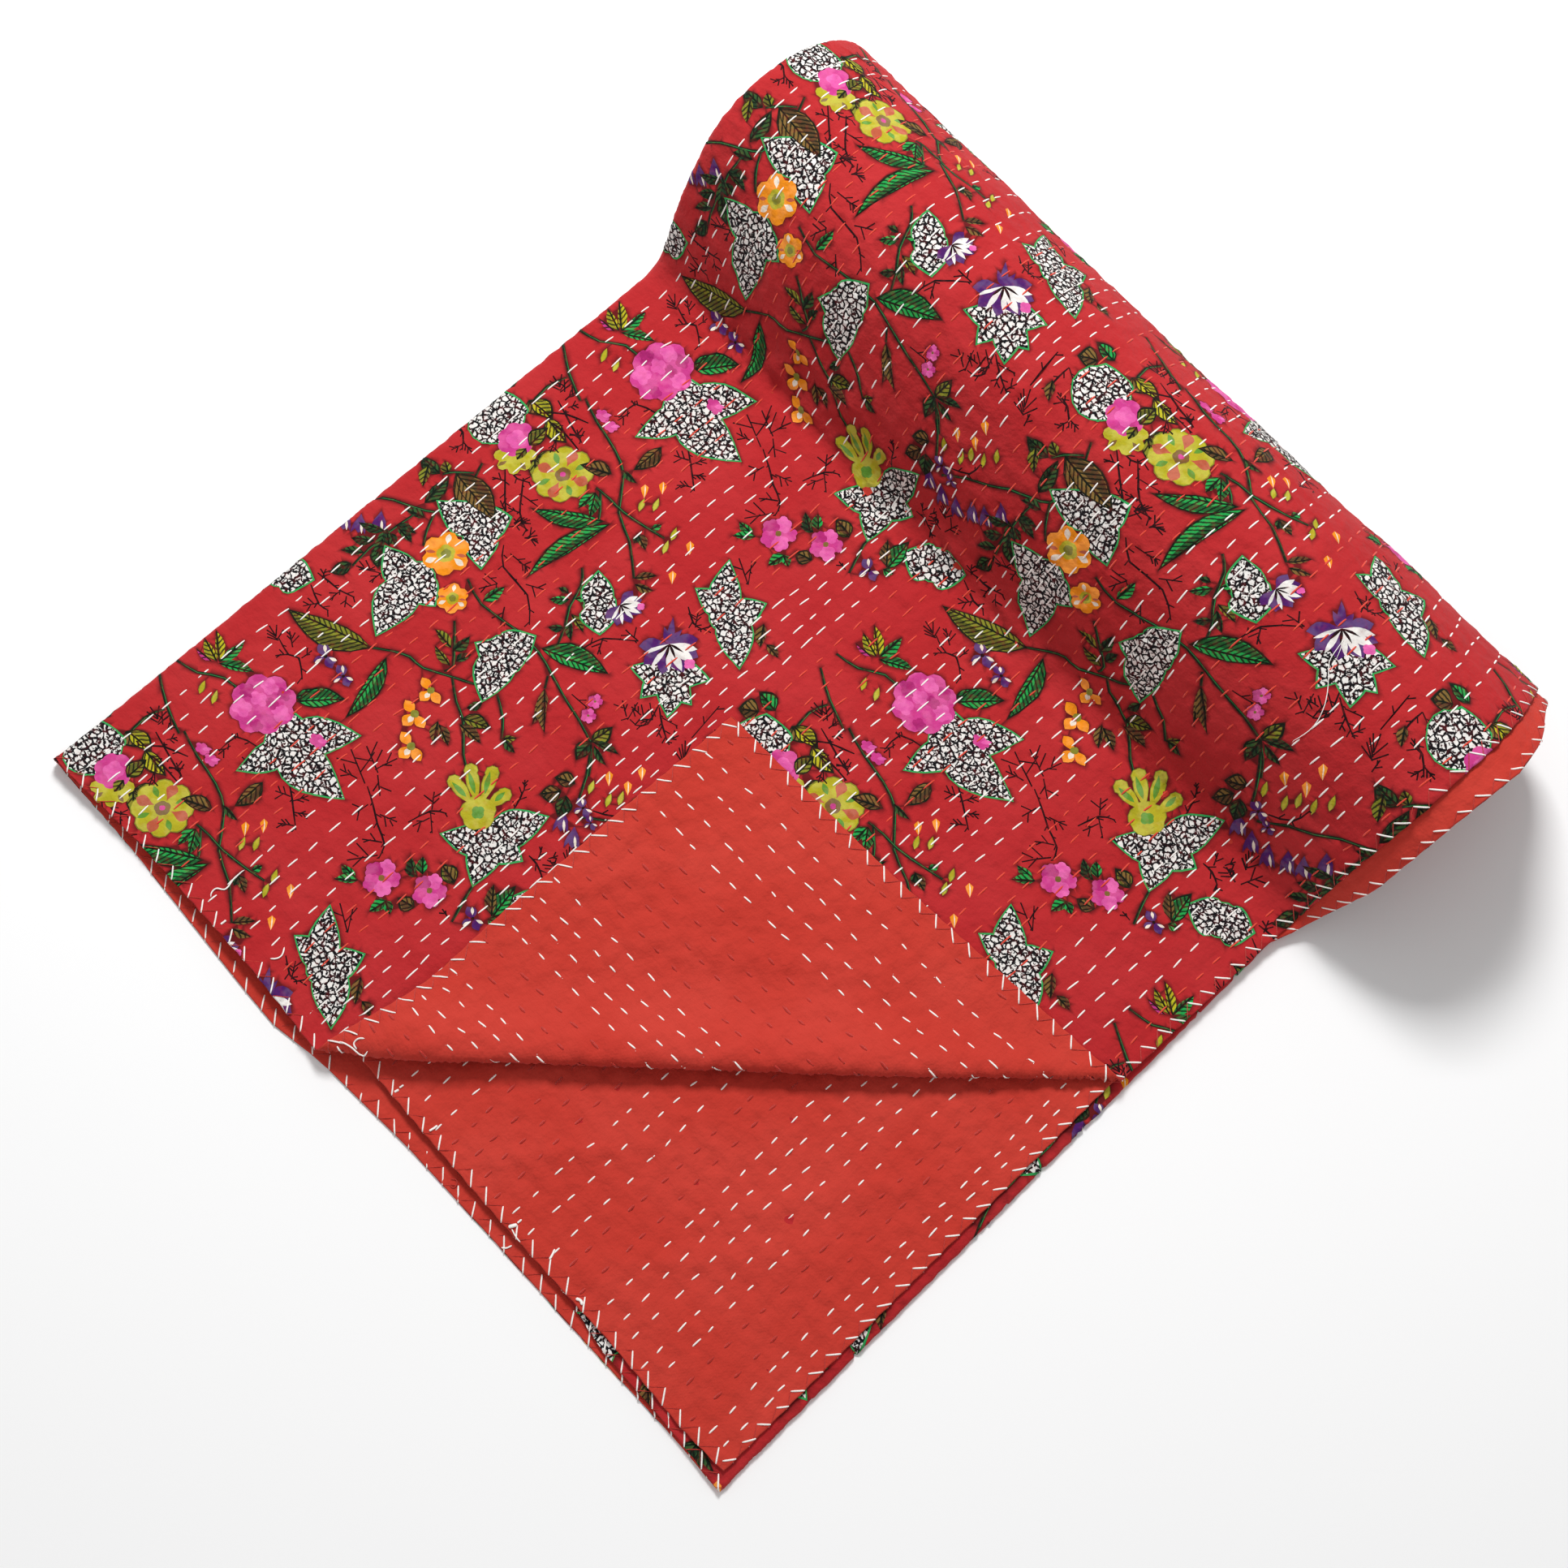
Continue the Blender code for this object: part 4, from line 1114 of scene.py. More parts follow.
# Second tone of a leaf's shaded half.
HALF_TONE = {"bright": (28, 92, 44), "dark": (26, 52, 30), "olive": (92, 92, 34),
             "brown": (84, 62, 36), "yellow": (140, 138, 34), "pink": (190, 52, 130)}
BROAD_LEAF = 7.5
LEAF_BOW = 0.07
GREAT_LEAF = 15

Patch = namedtuple("Patch", "outline slot ink shadow foot tip")


def patch(outline, ink, slot=PETAL_SLOT, shadow=1.0, foot=(0.0, 0.0), tip=(1.0, 0.0)):
    """One outlined place of the print: its outline, how it is filled, its ink, how much dark ink
    bleeds round it, and the long axis that a leaf's veins follow."""
    colour = linear(*(INKS[ink] if isinstance(ink, str) else ink))
    return Patch(np.asarray(outline, dtype=float), slot, colour, shadow, foot, tip)


def lens(foot, tip, width, bow=0.0, fat=0.85, points=6, side=0):
    """A leaf's outline: half widths by a sine of the way along, its middle line bowed in a
    parabola. With a side of 1 or -1, only that half of it."""
    foot, tip = np.asarray(foot, dtype=float), np.asarray(tip, dtype=float)
    t = np.linspace(0, 1, points + 1)[:, None]
    way = tip - foot
    across = np.array([-way[1], way[0]])
    line = foot + way * t + across * bow * 4 * t * (1 - t)
    half = across / np.hypot(*way) * width / 2 * np.sin(math.pi * t ** fat)
    left, right = line + half * (side >= 0), line - half * (side <= 0)
    return np.concatenate((left, right[-2:0:-1]))


def blob(centre, radius, lobes=5, depth=0.12, turn=0.0, per_lobe=4, squash=1.0):
    """A round outline with lobes: its radius falls by a power of the cosine between them."""
    angle = 2 * math.pi * np.arange(lobes * per_lobe) / (lobes * per_lobe)
    far = radius * (1 - depth * (1 - abs(np.cos(lobes * angle / 2)) ** 0.7))
    x, y = far * np.cos(angle + turn), far * np.sin(angle + turn) * squash
    return np.column_stack((centre[0] + x, centre[1] + y))


def stroke(points, width, thin=0.5, per_span=2):
    """A brush line through points: a Catmull-Rom curve, its half width a sine of the way along."""
    points = np.asarray(points, dtype=float)
    if len(points) > 2:
        ends = (2 * points[0] - points[1], 2 * points[-1] - points[-2])
        control = np.concatenate(([ends[0]], points, [ends[1]]))
        t = np.linspace(0, 1, per_span, endpoint=False)[:, None]
        spans = [
            0.5 * (2 * b + (c - a) * t + (2 * a - 5 * b + 4 * c - d) * t ** 2
                   + (3 * b - a - 3 * c + d) * t ** 3)
            for a, b, c, d in zip(control, control[1:], control[2:], control[3:])
        ]
        points = np.concatenate((*spans, points[-1:]))
    way = np.gradient(points, axis=0)
    across = np.column_stack((-way[:, 1], way[:, 0])) / np.hypot(*way.T)[:, None]
    t = np.linspace(0, 1, len(points))
    half = width / 2 * (thin + (1 - thin) * np.sin(math.pi * t))[:, None]
    return np.concatenate((points + across * half, (points - across * half)[::-1]))


def around(centre, distance, angle):
    """The point at a distance and an angle from another."""
    return centre[0] + distance * math.cos(angle), centre[1] + distance * math.sin(angle)


def leaf(foot, tip, width, style, bow):
    """A veined leaf: its own colour and a shaded half, and a dark line round it if it is broad."""
    foot, tip = np.asarray(foot, dtype=float), np.asarray(tip, dtype=float)
    way = (tip - foot) / np.hypot(*(tip - foot))
    points = 6 if width > BROAD_LEAF else 4
    axis = dict(slot=VEIN_SLOT, foot=foot, tip=tip)
    made = [
        patch(lens(foot, tip, width, bow, points=points), style, **axis),
        patch(lens(foot, tip, width * 0.9, bow, points=points, side=1), HALF_TONE[style], **axis),
    ]
    if width > BROAD_LEAF:
        line = lens(foot - way * 0.9, tip + way * 1.8, width + 1.9, bow)
        made.insert(0, patch(line, "outline", INK_SLOT))
    return made


def crackled(centre, body, *tips):
    """A white lobed leaf: every lobe and the body once in green a little larger, then in white."""
    centre = np.asarray(centre, dtype=float)
    made = []
    for slot, ink, more in ((INK_SLOT, "rim", 1.6), (CRACKLE_SLOT, "white", 0.0)):
        made.append(patch(blob(centre, body * 1.08 + more / 2, 4, 0.04), ink, slot))
        for number, (x, y, width) in enumerate(tips):
            way = np.array([x, y]) - centre
            far = np.hypot(*way)
            foot, tip = centre - way * 0.16, centre + way * (1 + more * 0.9 / far)
            bow = 0.05 * (-1) ** number
            made.append(patch(lens(foot, tip, width * 1.25 + more, bow, 0.80, 8), ink, slot))
    return made


def vine(points):
    """A stem: a dark brush line with a fine green one just beside its middle."""
    light = np.asarray(points, dtype=float) + (0.45, 0.30)
    return [patch(stroke(points, 1.9, 0.75), "deep", INK_SLOT),
            patch(stroke(light, 0.42, 0.1), "stem", INK_SLOT)]


def twig(points):
    """A wiry twig with short shoots to its left and right in turn."""
    made = [stroke(points, 1.25, 0.6)]
    for number, (start, end) in enumerate(zip(points, points[1:])):
        aim, far = math.atan2(end[1] - start[1], end[0] - start[0]), math.dist(start, end)
        for share, side in ((0.45, 1), (0.9, -1)):
            size = 3.2 + 1.6 * math.sin(5.1 * number + start[0] + share)
            foot = around(start, far * share, aim)
            made.append(stroke((foot, around(foot, size, aim + side * 0.8)), 1.0, 0.8))
    return [patch(line, "black", INK_SLOT, 0.0) for line in made]


def fan(foot, tip, number):
    """A spray: a stem with shoots left and right in turn, or many shoots spread from the foot."""
    foot, tip = np.asarray(foot, dtype=float), np.asarray(tip, dtype=float)
    far, aim = np.hypot(*(tip - foot)), math.atan2(*(tip - foot)[::-1])
    lines = []
    for place in range(number):
        uneven = math.sin(7.3 * place + foot[0] + 1.7 * tip[1])
        if number > 5:
            aslant = (place - (number - 1) / 2) * (2.0 / number) + 0.16 * uneven
            start = around(foot, far * 0.2 * (1 + uneven), aim)
            end = around(foot, far * (1.05 - 0.28 * abs(aslant) + 0.14 * uneven), aim + aslant)
        elif place == 0:
            start, end = foot, around(foot, far * 1.1, aim + 0.1 * uneven)
        else:
            start = around(foot, far * (0.15 + 0.7 * place / number), aim)
            turn = (0.75 + 0.2 * uneven) * (-1) ** place
            end = around(start, far * (0.55 + 0.12 * uneven), aim + turn)
        lines.append(stroke((start, end), 1.15, 0.75))
    return [patch(line, "black", INK_SLOT, 0.0) for line in lines]


# ---- the print's flowers

UP = math.radians(136)
DOWN = UP + math.pi


def petals(centre, size, number, width, ink, turn=0.0, start=0.15, fat=1.25):
    """A ring of rounded petals."""
    made = []
    for place in range(number):
        angle = turn + 2 * math.pi * place / number
        foot, tip = around(centre, size * start, angle), around(centre, size, angle)
        made.append(patch(lens(foot, tip, width, fat=fat), ink))
    return made


def peony(c, size):
    """A pink round of eight lobes, with paler and darker rounds about it."""
    made = [patch(blob(c, size, 8, 0.14, 0.3), "pink")]
    for aim, far, wide, ink in (
        (0.3, 0.62, 0.34, "pink_light"), (1.3, 0.68, 0.26, "pink_dark"),
        (2.1, 0.60, 0.32, "pink_light"), (3.2, 0.66, 0.30, "pink_dark"),
        (4.1, 0.62, 0.36, "pink_light"), (5.3, 0.70, 0.24, "pink_dark"),
        (0.9, 0.26, 0.24, "pink_dark"), (3.0, 0.22, 0.30, "pink_light"),
        (5.0, 0.28, 0.22, "pink"),
    ):
        spot = around(c, size * far, aim)
        made.append(patch(blob(spot, size * wide, 4, 0.3, aim, squash=0.8), ink))
    return made


def pinkbit(c, size):
    """A small pink round with a paler blade on it."""
    return [patch(blob(c, size, 5, 0.25, 0.5, squash=0.7), "pink"),
            patch(lens(c, c + size * 0.8, size * 0.5), "pink_light")]


def daisy(c, size):
    """A yellow round of eight lobes with an olive rim, two rings of thin petals and an eye."""
    return [
        patch(blob(c, size + 0.7, 8, 0.14), "olive", INK_SLOT),
        patch(blob(c, size, 8, 0.14), "yellow"),
        *petals(c, size * 0.93, 4, size * 0.40, "wedge", 0.4, 0.3, 1.6),
        *petals(c, size * 0.86, 4, size * 0.20, "green_dot", 1.2, 0.50, 1.0),
        patch(blob(c, size * 0.27, 5, 0.1), "brown"),
        patch(blob(c, size * 0.10, 4, 0.1), "pink"),
    ]


def pair(c, size):
    """A yellow bloom with a pink one above it."""
    low, high = around(c, size * 0.45, DOWN), around(c, size * 0.25, UP)
    return [
        patch(blob(low, size * 0.85, 8, 0.22), "yellow"),
        *petals(low, size * 0.8, 4, size * 0.18, "brown", UP + 2.2, 0.5, 1.0),
        patch(blob(high, size * 0.78, 7, 0.14), "pink"),
        patch(blob(high, size * 0.42, 4, 0.2, 0.7), "pink_light"),
    ]


def orange_bloom(c, size):
    """An orange round of six lobes with cream and brown petals and a yellow eye."""
    return [
        patch(blob(c, size, 6, 0.20, 0.2), "orange"),
        *petals(c, size * 0.9, 3, size * 0.26, "cream", UP - 2.2, 0.45, 1.3),
        *petals(c, size * 0.85, 2, size * 0.16, "wedge", UP + 1.4, 0.5, 1.0),
        patch(blob(c, size * 0.40, 5, 0.12), "yellow"),
        patch(blob(c, size * 0.22, 5, 0.12), "olive"),
    ]


def spread(c, size, down):
    """A spread of purple petals with white ones on them, about one way."""
    return [
        patch(lens(c, around(c, size * far, down + aim), size * width, fat=1.3), ink)
        for ink, blades in (
            ("purple", ((-1.5, 0.95, 0.50), (-0.85, 1.05, 0.55), (-0.2, 1.05, 0.50),
                        (0.45, 1.08, 0.56), (1.1, 1.02, 0.56), (1.75, 0.90, 0.50))),
            ("white", ((-1.2, 0.85, 0.14), (-0.6, 0.98, 0.17), (0.0, 0.92, 0.18),
                       (0.42, 1.02, 0.26), (0.9, 0.98, 0.34), (1.35, 0.90, 0.28))),
        )
        for aim, far, width in blades
    ]


def pansy(c, size, down=UP - 2.4, crown=()):
    """A spread of petals with dark lines from its heart and a pink round at its side."""
    made = spread(c, size, down)
    made += [
        patch(lens(c, around(c, size * far, UP + aim), size * 0.24, fat=0.7), "purple")
        for aim, far in crown
    ]
    made += [
        patch(lens(c, around(c, size * 0.55, down + aim), size * 0.09), "black", INK_SLOT)
        for aim in (-0.8, -0.2, 0.4, 1.0)
    ]
    side = around(c, size * 0.95, down + 0.75)
    return [*made, patch(blob(side, size * 0.19, 4, 0.2), "pink_light")]


def iris(c, size):
    """The same flower hanging down, with three purple petals upright over it."""
    return pansy(c, size, DOWN, ((-0.65, 0.62), (-0.1, 0.90), (0.3, 0.60)))


def butterfly(c, size):
    """Purple petals to two sides with cream streaks and a dark heart."""
    return [
        *petals(c, size, 2, size * 0.62, "purple", UP + 0.5, 0.0),
        *petals(c, size * 0.85, 3, size * 0.45, "purple", UP + 2.0, 0.0),
        *petals(c, size * 0.85, 3, size * 0.24, "cream", UP + 2.2, 0.3),
        patch(blob(c, size * 0.14, 4, 0.1), "black", INK_SLOT),
    ]


def bell(c, size):
    """Three orange petals, one with a cream streak, and an olive heart."""
    return [
        *petals(c, size, 2, size * 0.62, "orange", UP + 0.6, 0.0),
        *petals(c, size * 0.9, 1, size * 0.75, "orange", UP + 2.4, 0.0),
        *petals(c, size * 0.6, 1, size * 0.34, "cream", UP + 2.6, 0.1),
        patch(blob(c, size * 0.24, 4, 0.1), "olive"),
    ]


def cluster(c, size):
    """Five pink rounds in a ring about a brown heart."""
    made = []
    for place in range(5):
        spot = around(c, size * 0.52, 0.7 + 2 * math.pi * place / 5)
        ink = ("pink", "pink_light", "pink_dark")[place % 3]
        made.append(patch(blob(spot, size * 0.46, 5, 0.2, place), ink))
    return [*made, patch(blob(c, size * 0.16, 4, 0.1), "brown", INK_SLOT)]


def tulip(c, size):
    """Four yellow fingers on a round, all in olive a little larger first, with green streaks."""
    made = []
    fingers = ((-1.5, 1.20, 1.05), (-0.45, 1.55, 1.38), (0.35, 1.60, 1.40), (1.1, 1.48, 1.30))
    for slot, ink, more in ((INK_SLOT, "olive", 0.9), (PETAL_SLOT, "yellow", 0.0)):
        made.append(patch(blob(c, size * 0.56 + more / 2, 5, 0.12), ink, slot))
        for aim, far, _ in fingers:
            tip = around(c, size * far + more / 2, UP + aim * 0.62)
            foot = around(c, size * 0.25, UP + aim * 0.62)
            made.append(patch(lens(foot, tip, size * 0.40 + more, fat=1.3), ink, slot))
            end = around(c, size * (far - 0.22), UP + aim * 0.62)
            made.append(patch(blob(end, size * 0.22 + more / 2, 4, 0.03, per_lobe=2), ink, slot))
    for aim, _, far in fingers:
        tip = around(c, size * far, UP + aim * 0.62 + 0.06)
        foot = around(c, size * 0.62, UP + aim * 0.62)
        made.append(patch(lens(foot, tip, size * 0.17), "green_dot"))
    return [*made, patch(blob(c, size * 0.22, 4, 0.2), "green_dot")]


def wedge(c, size):
    """A small orange wedge with a cream side."""
    tip = around(c, size, DOWN)
    return [patch(lens(c, tip, size * 0.52, fat=0.5, points=4), "orange", shadow=0.0),
            patch(lens(c, tip, size * 0.16, fat=0.8, points=3, side=1), "cream", shadow=0.0)]


def bud(c, size):
    """A yellow bud in an olive rim."""
    tip = around(c, size, UP - 0.3)
    return [patch(lens(c, tip, size * 0.42, points=4), "olive", INK_SLOT),
            patch(lens(c, tip, size * 0.30, points=4), "yellow")]


def drop(c, size):
    """A hanging bell of three purple blades with a cream streak."""
    made = [patch(lens(c, around(c, size, DOWN - 0.1), size * 0.50, 0.05, fat=1.5), "purple")]
    made += [
        patch(lens(c, around(c, size * 1.08, DOWN - 0.1 + aim), size * 0.20, fat=1.3, points=4),
              "purple")
        for aim in (-0.34, 0.30)
    ]
    start, end = (around(c, size * far, DOWN + 0.06) for far in (0.45, 1.04))
    return [*made, patch(lens(start, end, size * 0.13, points=4), "cream")]


# Flowers and small motifs: kind, then the place and size of each.
FLOWERS = (
    (peony, ((-247, 109, 20),)),
    (pinkbit, ((-207, 117, 6), (-250, 65, 5), (-241, 64, 5))),
    (daisy, ((-237, 338, 18),)),
    (pair, ((-3, 616, 15),)),
    (orange_bloom, ((-246, 253, 15), (-221, 236, 10))),
    (pansy, ((-148, 306, 13),)),
    (iris, ((-109, 310, 19),)),
    (butterfly, ((-245, 156, 9), (-228, 155, 8))),
    (bell, ((-185, 187, 10), (-180, 170, 11), (-166, 155, 11))),
    (cluster, ((-117, 90, 12), (-92, 106, 11), (-112, 253, 5), (-108, 244, 5))),
    (tulip, ((-108, 157, 19),)),
    (butterfly, ((-68, 204, 7), (-58, 201, 5), (-62, 114, 8))),
    (wedge, ((-74, 544, 9), (-62, 548, 9), (-63, 560, 9), (-197, 54, 9), (-191, 63, 9),
             (-150, 363, 9), (-143, 343, 9))),
    (bud, ((-186, 40, 9), (-180, 46, 9), (-158, 355, 9), (-155, 346, 9), (-278, 87, 9),
           (-268, 88, 9), (-72, 526, 9), (-59, 528, 9), (-55, 534, 9), (-47, 537, 9),
           (-42, 545, 9))),
    (drop, ((-75, 509, 13), (-63, 507, 13), (-51, 508, 13), (-41, 514, 13), (-33, 519, 13),
            (-26, 529, 13))),
)


def pairs(flat):
    """Points from a row of numbers, two to a point."""
    return list(zip(flat[::2], flat[1::2]))


def one_repeat(fine):
    """Every patch of one repeat, from the undermost to the uppermost."""
    made = []
    if fine:
        for line in TWIGS:
            made += twig(pairs(line))
        for x0, y0, x1, y1, number in FANS:
            made += fan((x0, y0), (x1, y1), number)
    for line in VINES:
        made += vine(pairs(line))
    for style, leaves in LEAVES.items():
        for place, (x0, y0, x1, y1, width) in enumerate(leaves):
            made += leaf((x0, y0), (x1, y1), width, style, LEAF_BOW * (-1) ** place)
    for x, y, body, *tips in CRACKLED:
        made += crackled((x, y), body, *tips)
    for x0, y0, x1, y1, width in LEAVES["brown"]:
        if width >= GREAT_LEAF:
            made += leaf((x0, y0), (x1, y1), width, "brown", 0.06)
    for kind, places in FLOWERS:
        for x, y, size in places:
            made += kind(np.array([x, y], dtype=float), size)
    return made


# ---- the print on the cloth

def roll_drift(x, run):
    """How far the print lies further along at the roll's right end: two soft rises multiplied."""
    across = smoothstep(x / DRIFT_ACROSS)
    return ROLL_DRIFT * across * smoothstep((run - DRIFT_FROM) / DRIFT_OVER)


def uppermost(spots, outlines):
    """For each spot the last outline that holds it, or -1: a spot is inside where a line from it
    crosses the outline an odd number of times. Spots are looked up by the strip they lie in."""
    order = np.lexsort((spots[:, 1], np.floor(spots[:, 0] / BIN)))
    strip = np.floor(spots[order, 0] / BIN).astype(int)
    first = np.searchsorted(strip, np.arange(strip[0], strip[-1] + 2))
    height = spots[order, 1]
    top = np.full(len(spots), -1)
    for number, outline in enumerate(outlines):
        low, high = outline.min(axis=0), outline.max(axis=0)
        columns = np.arange(int(low[0] // BIN), int(high[0] // BIN) + 1) - strip[0]
        near = []
        for c in columns[(columns >= 0) & (columns < len(first) - 1)]:
            held = height[first[c]:first[c + 1]]
            near.append(first[c] + np.arange(*np.searchsorted(held, (low[1], high[1]))))
        if not near:
            continue
        near = order[np.concatenate(near)]
        x, y = spots[near, 0][:, None], spots[near, 1][:, None]
        x0, y0 = outline.T
        x1, y1 = np.roll(x0, -1), np.roll(y0, -1)
        crosses = (y0 > y) != (y1 > y)
        rise = np.where(y1 == y0, 1.0, y1 - y0)
        crosses &= x < x0 + (y - y0) / rise * (x1 - x0)
        top[near[crosses.sum(axis=1) % 2 == 1]] = number
    return top


def lattice(across, along):
    """Grid points of the cloth, every other column half a row on, and the points of its border."""
    w, run = np.meshgrid(across, along)
    rows, columns = w.shape
    gaps = np.diff(run, axis=0)
    shift = np.zeros_like(run)
    shift[1:-1] = np.minimum(gaps[1:], gaps[:-1]) / 2
    shift *= (np.arange(columns) % 2) * (run > HEM_STEPS[-1] * 1.5)
    shift[:, [0, -1]] = 0
    index = np.arange(rows * columns).reshape(rows, columns)
    border = np.concatenate((index[0], index[1:, -1], index[-1, -2::-1], index[-2:0:-1, 0]))
    return np.column_stack((w.ravel(), (run + shift).ravel())), border


def laid_patches(repeat, across, along, only):
    """Number, move and outline on the cloth of each patch of each repeat that meets the cloth."""
    boxes = np.array([(*one.outline.min(0), *one.outline.max(0)) for one in repeat])
    laid = []
    for across_step, along_step in product(REPEATS_ACROSS, REPEATS_ALONG):
        move = np.array(REPEAT_ALONG) * along_step + np.array(REPEAT_ACROSS) * across_step
        w0, w1 = (PRINT_EDGE - (boxes[:, place] + move[0]) / MILLIMETRES for place in (2, 0))
        run0, run1 = ((boxes[:, place] + move[1]) / MILLIMETRES for place in (1, 3))
        inside = (w1 > across[0]) & (w0 < across[-1]) & (run1 > 0) & (run0 < along[-1])
        if only:
            inside &= only((w0 + w1) / 2, (run0 + run1) / 2)
        for number in np.flatnonzero(inside):
            outline = (repeat[number].outline + move) / MILLIMETRES
            outline[:, 1] += roll_drift(*outline.T)
            outline[:, 0] = PRINT_EDGE - outline[:, 0]
            laid.append((number, move, outline))
    return laid


def triangulated(across, along, outlines):
    """Places, triangles and their middles: the lattice and all outlines in one constrained Delaunay
    triangulation, kept inside the lattice's border."""
    points, border = lattice(across, along)
    rings, used = [border], len(points)
    for outline in outlines:
        rings.append(np.arange(used, used + len(outline)))
        used += len(outline)
    edges = np.concatenate([np.column_stack((ring, np.roll(ring, -1))) for ring in rings])
    flat = [Vector(point) for point in np.concatenate((points, *outlines)).tolist()]
    found = delaunay_2d_cdt(flat, edges.tolist(), [], 0, WELD, False)
    places = np.array([tuple(point) for point in found[0]])
    triangles = np.array(found[2])
    centre = places[triangles].mean(axis=1)
    w, run = centre.T
    kept = (w > across[0]) & (w < across[-1]) & (run > 0) & (run < along[-1])
    return places, triangles[kept], centre[kept]


def printed_cloth(name, across, along, fine=True, only=None):
    """A printed face whose own triangles follow the print's outlines: each triangle takes the
    uppermost patch that holds its middle, and places along and across that patch's long axis."""
    repeat = one_repeat(fine)
    laid = laid_patches(repeat, across, along, only)
    outlines = [outline for _, _, outline in laid]
    places, triangles, centre = triangulated(across, along, outlines)
    top = uppermost(centre, outlines)
    used, triangles = np.unique(triangles, return_inverse=True)
    triangles = triangles.reshape(-1, 3)
    w, run = places[used].T
    solid, _ = on_face(w, run, PRINTED)
    kinds = [*repeat, Patch(None, GROUND_SLOT, GROUND, 0.0, (0.0, 0.0), (1.0, 0.0))]
    slots, inks, shadows, feet, tips = (np.array(field) for field in list(zip(*kinds))[1:])
    which = np.array([number for number, _, _ in laid] + [len(repeat)])[top]
    moves = np.array([move for _, move, _ in laid] + [(0, 0)])[top]
    halo = np.zeros(len(w))
    np.maximum.at(halo, triangles.ravel(), np.repeat(shadows[which], 3))
    x, undrifted = PRINT_EDGE - w, run
    for _ in range(DRIFT_STEPS):
        undrifted = run - roll_drift(x, undrifted)
    spot = np.column_stack((x, undrifted)) * MILLIMETRES
    here = spot[triangles] - moves[:, None] - feet[which][:, None]
    way = (tips - feet)[which]
    far = np.hypot(*way.T)[:, None]
    along_leaf = (here * way[:, None]).sum(axis=2) / far
    across_leaf = (here[..., 1] * way[:, None, 0] - here[..., 0] * way[:, None, 1]) / far
    detail = np.stack((along_leaf, across_leaf, np.broadcast_to(far, along_leaf.shape)), axis=2)
    turned = triangles[:, ::-1]
    return mesh_piece(
        name, solid, turned.ravel(), np.full(len(turned), 3), PRINT_MATERIALS, slots=slots[which],
        attributes=(
            ("ink", "FLOAT_COLOR", "CORNER", np.repeat(inks[which], 3, axis=0)),
            ("detail", "FLOAT_VECTOR", "CORNER", detail[:, ::-1].reshape(-1, 3)),
            ("halo", "FLOAT", "POINT", halo),
        ),
        uv=np.column_stack((w, run))[turned.ravel()],
    )


# ---- the cloth's pieces

def steps(*stretches):
    """Places along one way, from stretches of (from, to, greatest step)."""
    rows = [np.linspace(a, b, max(math.ceil((b - a) / step), 1), endpoint=False)
            for a, b, step in stretches]
    return np.concatenate((*rows, [stretches[-1][1]]))


def rows_in(between):
    """The close rows at a hem, and then the places given."""
    return np.concatenate((HEM_STEPS[:-1], between))


def inner_columns(start, flat, fold, *stretches):
    """Columns from a start over the inner layers and their folds to the second layer's hem."""
    return np.concatenate((
        start,
        steps((BOTTOM_START, BOTTOM_END, flat), (BOTTOM_END, THIRD_START, fold),
              (THIRD_START, THIRD_END, flat), (THIRD_END, SECOND_START, fold), *stretches),
        CLOTH_WIDTH - np.array(HEM_STEPS[2::-1]),
    ))


def row_columns(start, end, between):
    """Columns on every stitch row from start to end, and some evenly between each two."""
    rows = ROW_W[(ROW_W > start + ROW_CLEAR) & (ROW_W < end - ROW_CLEAR)]
    marks = np.concatenate(([start], rows, [end]))
    counts = [max(round(gap / between), 1) for gap in np.diff(marks)]
    spans = [np.linspace(a, b, count, endpoint=False)
             for a, b, count in zip(marks, marks[1:], counts)]
    return np.concatenate((*spans, [end]))


def in_sight(w, run):
    """Places of the inner layers' printed face that can be seen: underneath, and at the hems."""
    at_hem = (run < SEEN_IN_HEM) | (w > CLOTH_WIDTH - SEEN_IN_HEM)
    return (w < BOTTOM_END + SEEN_IN_FOLD) | at_hem


def wound_columns():
    """Columns of the inner turns: close together at both ends of the roll, wide apart between."""
    columns = [0.0, *WOUND_HEM]
    for start, end in ((0.0, TOP_END), (BOTTOM_START, BOTTOM_END), (THIRD_START, THIRD_END),
                       (SECOND_START, CLOTH_WIDTH)):
        if start:
            columns.append(start)
        columns += [*(start + END_COLUMNS), *(end - END_COLUMNS[::-1])]
        if end < CLOTH_WIDTH:
            arc = OUTER_ARC if end == TOP_END else INNER_ARC
            columns += [end, *(end + arc * share for share in (0.2, 0.4, 0.6, 0.8))]
    return np.array([*columns, *(CLOTH_WIDTH - place for place in WOUND_HEM[::-1]), CLOTH_WIDTH])


ROW_CLEAR = 0.002
SEEN_IN_FOLD, SEEN_IN_HEM = 0.02, 0.03
HEM_IN = HEM_STEPS[-1]
HEM_OUT = CLOTH_WIDTH - HEM_IN
WOUND_HEM = (0.0003, 0.0009)
END_COLUMNS = np.array([0.0012, 0.003, 0.008, 0.02, 0.06])
WOUND_FINE = CLOTH_LENGTH - 0.40

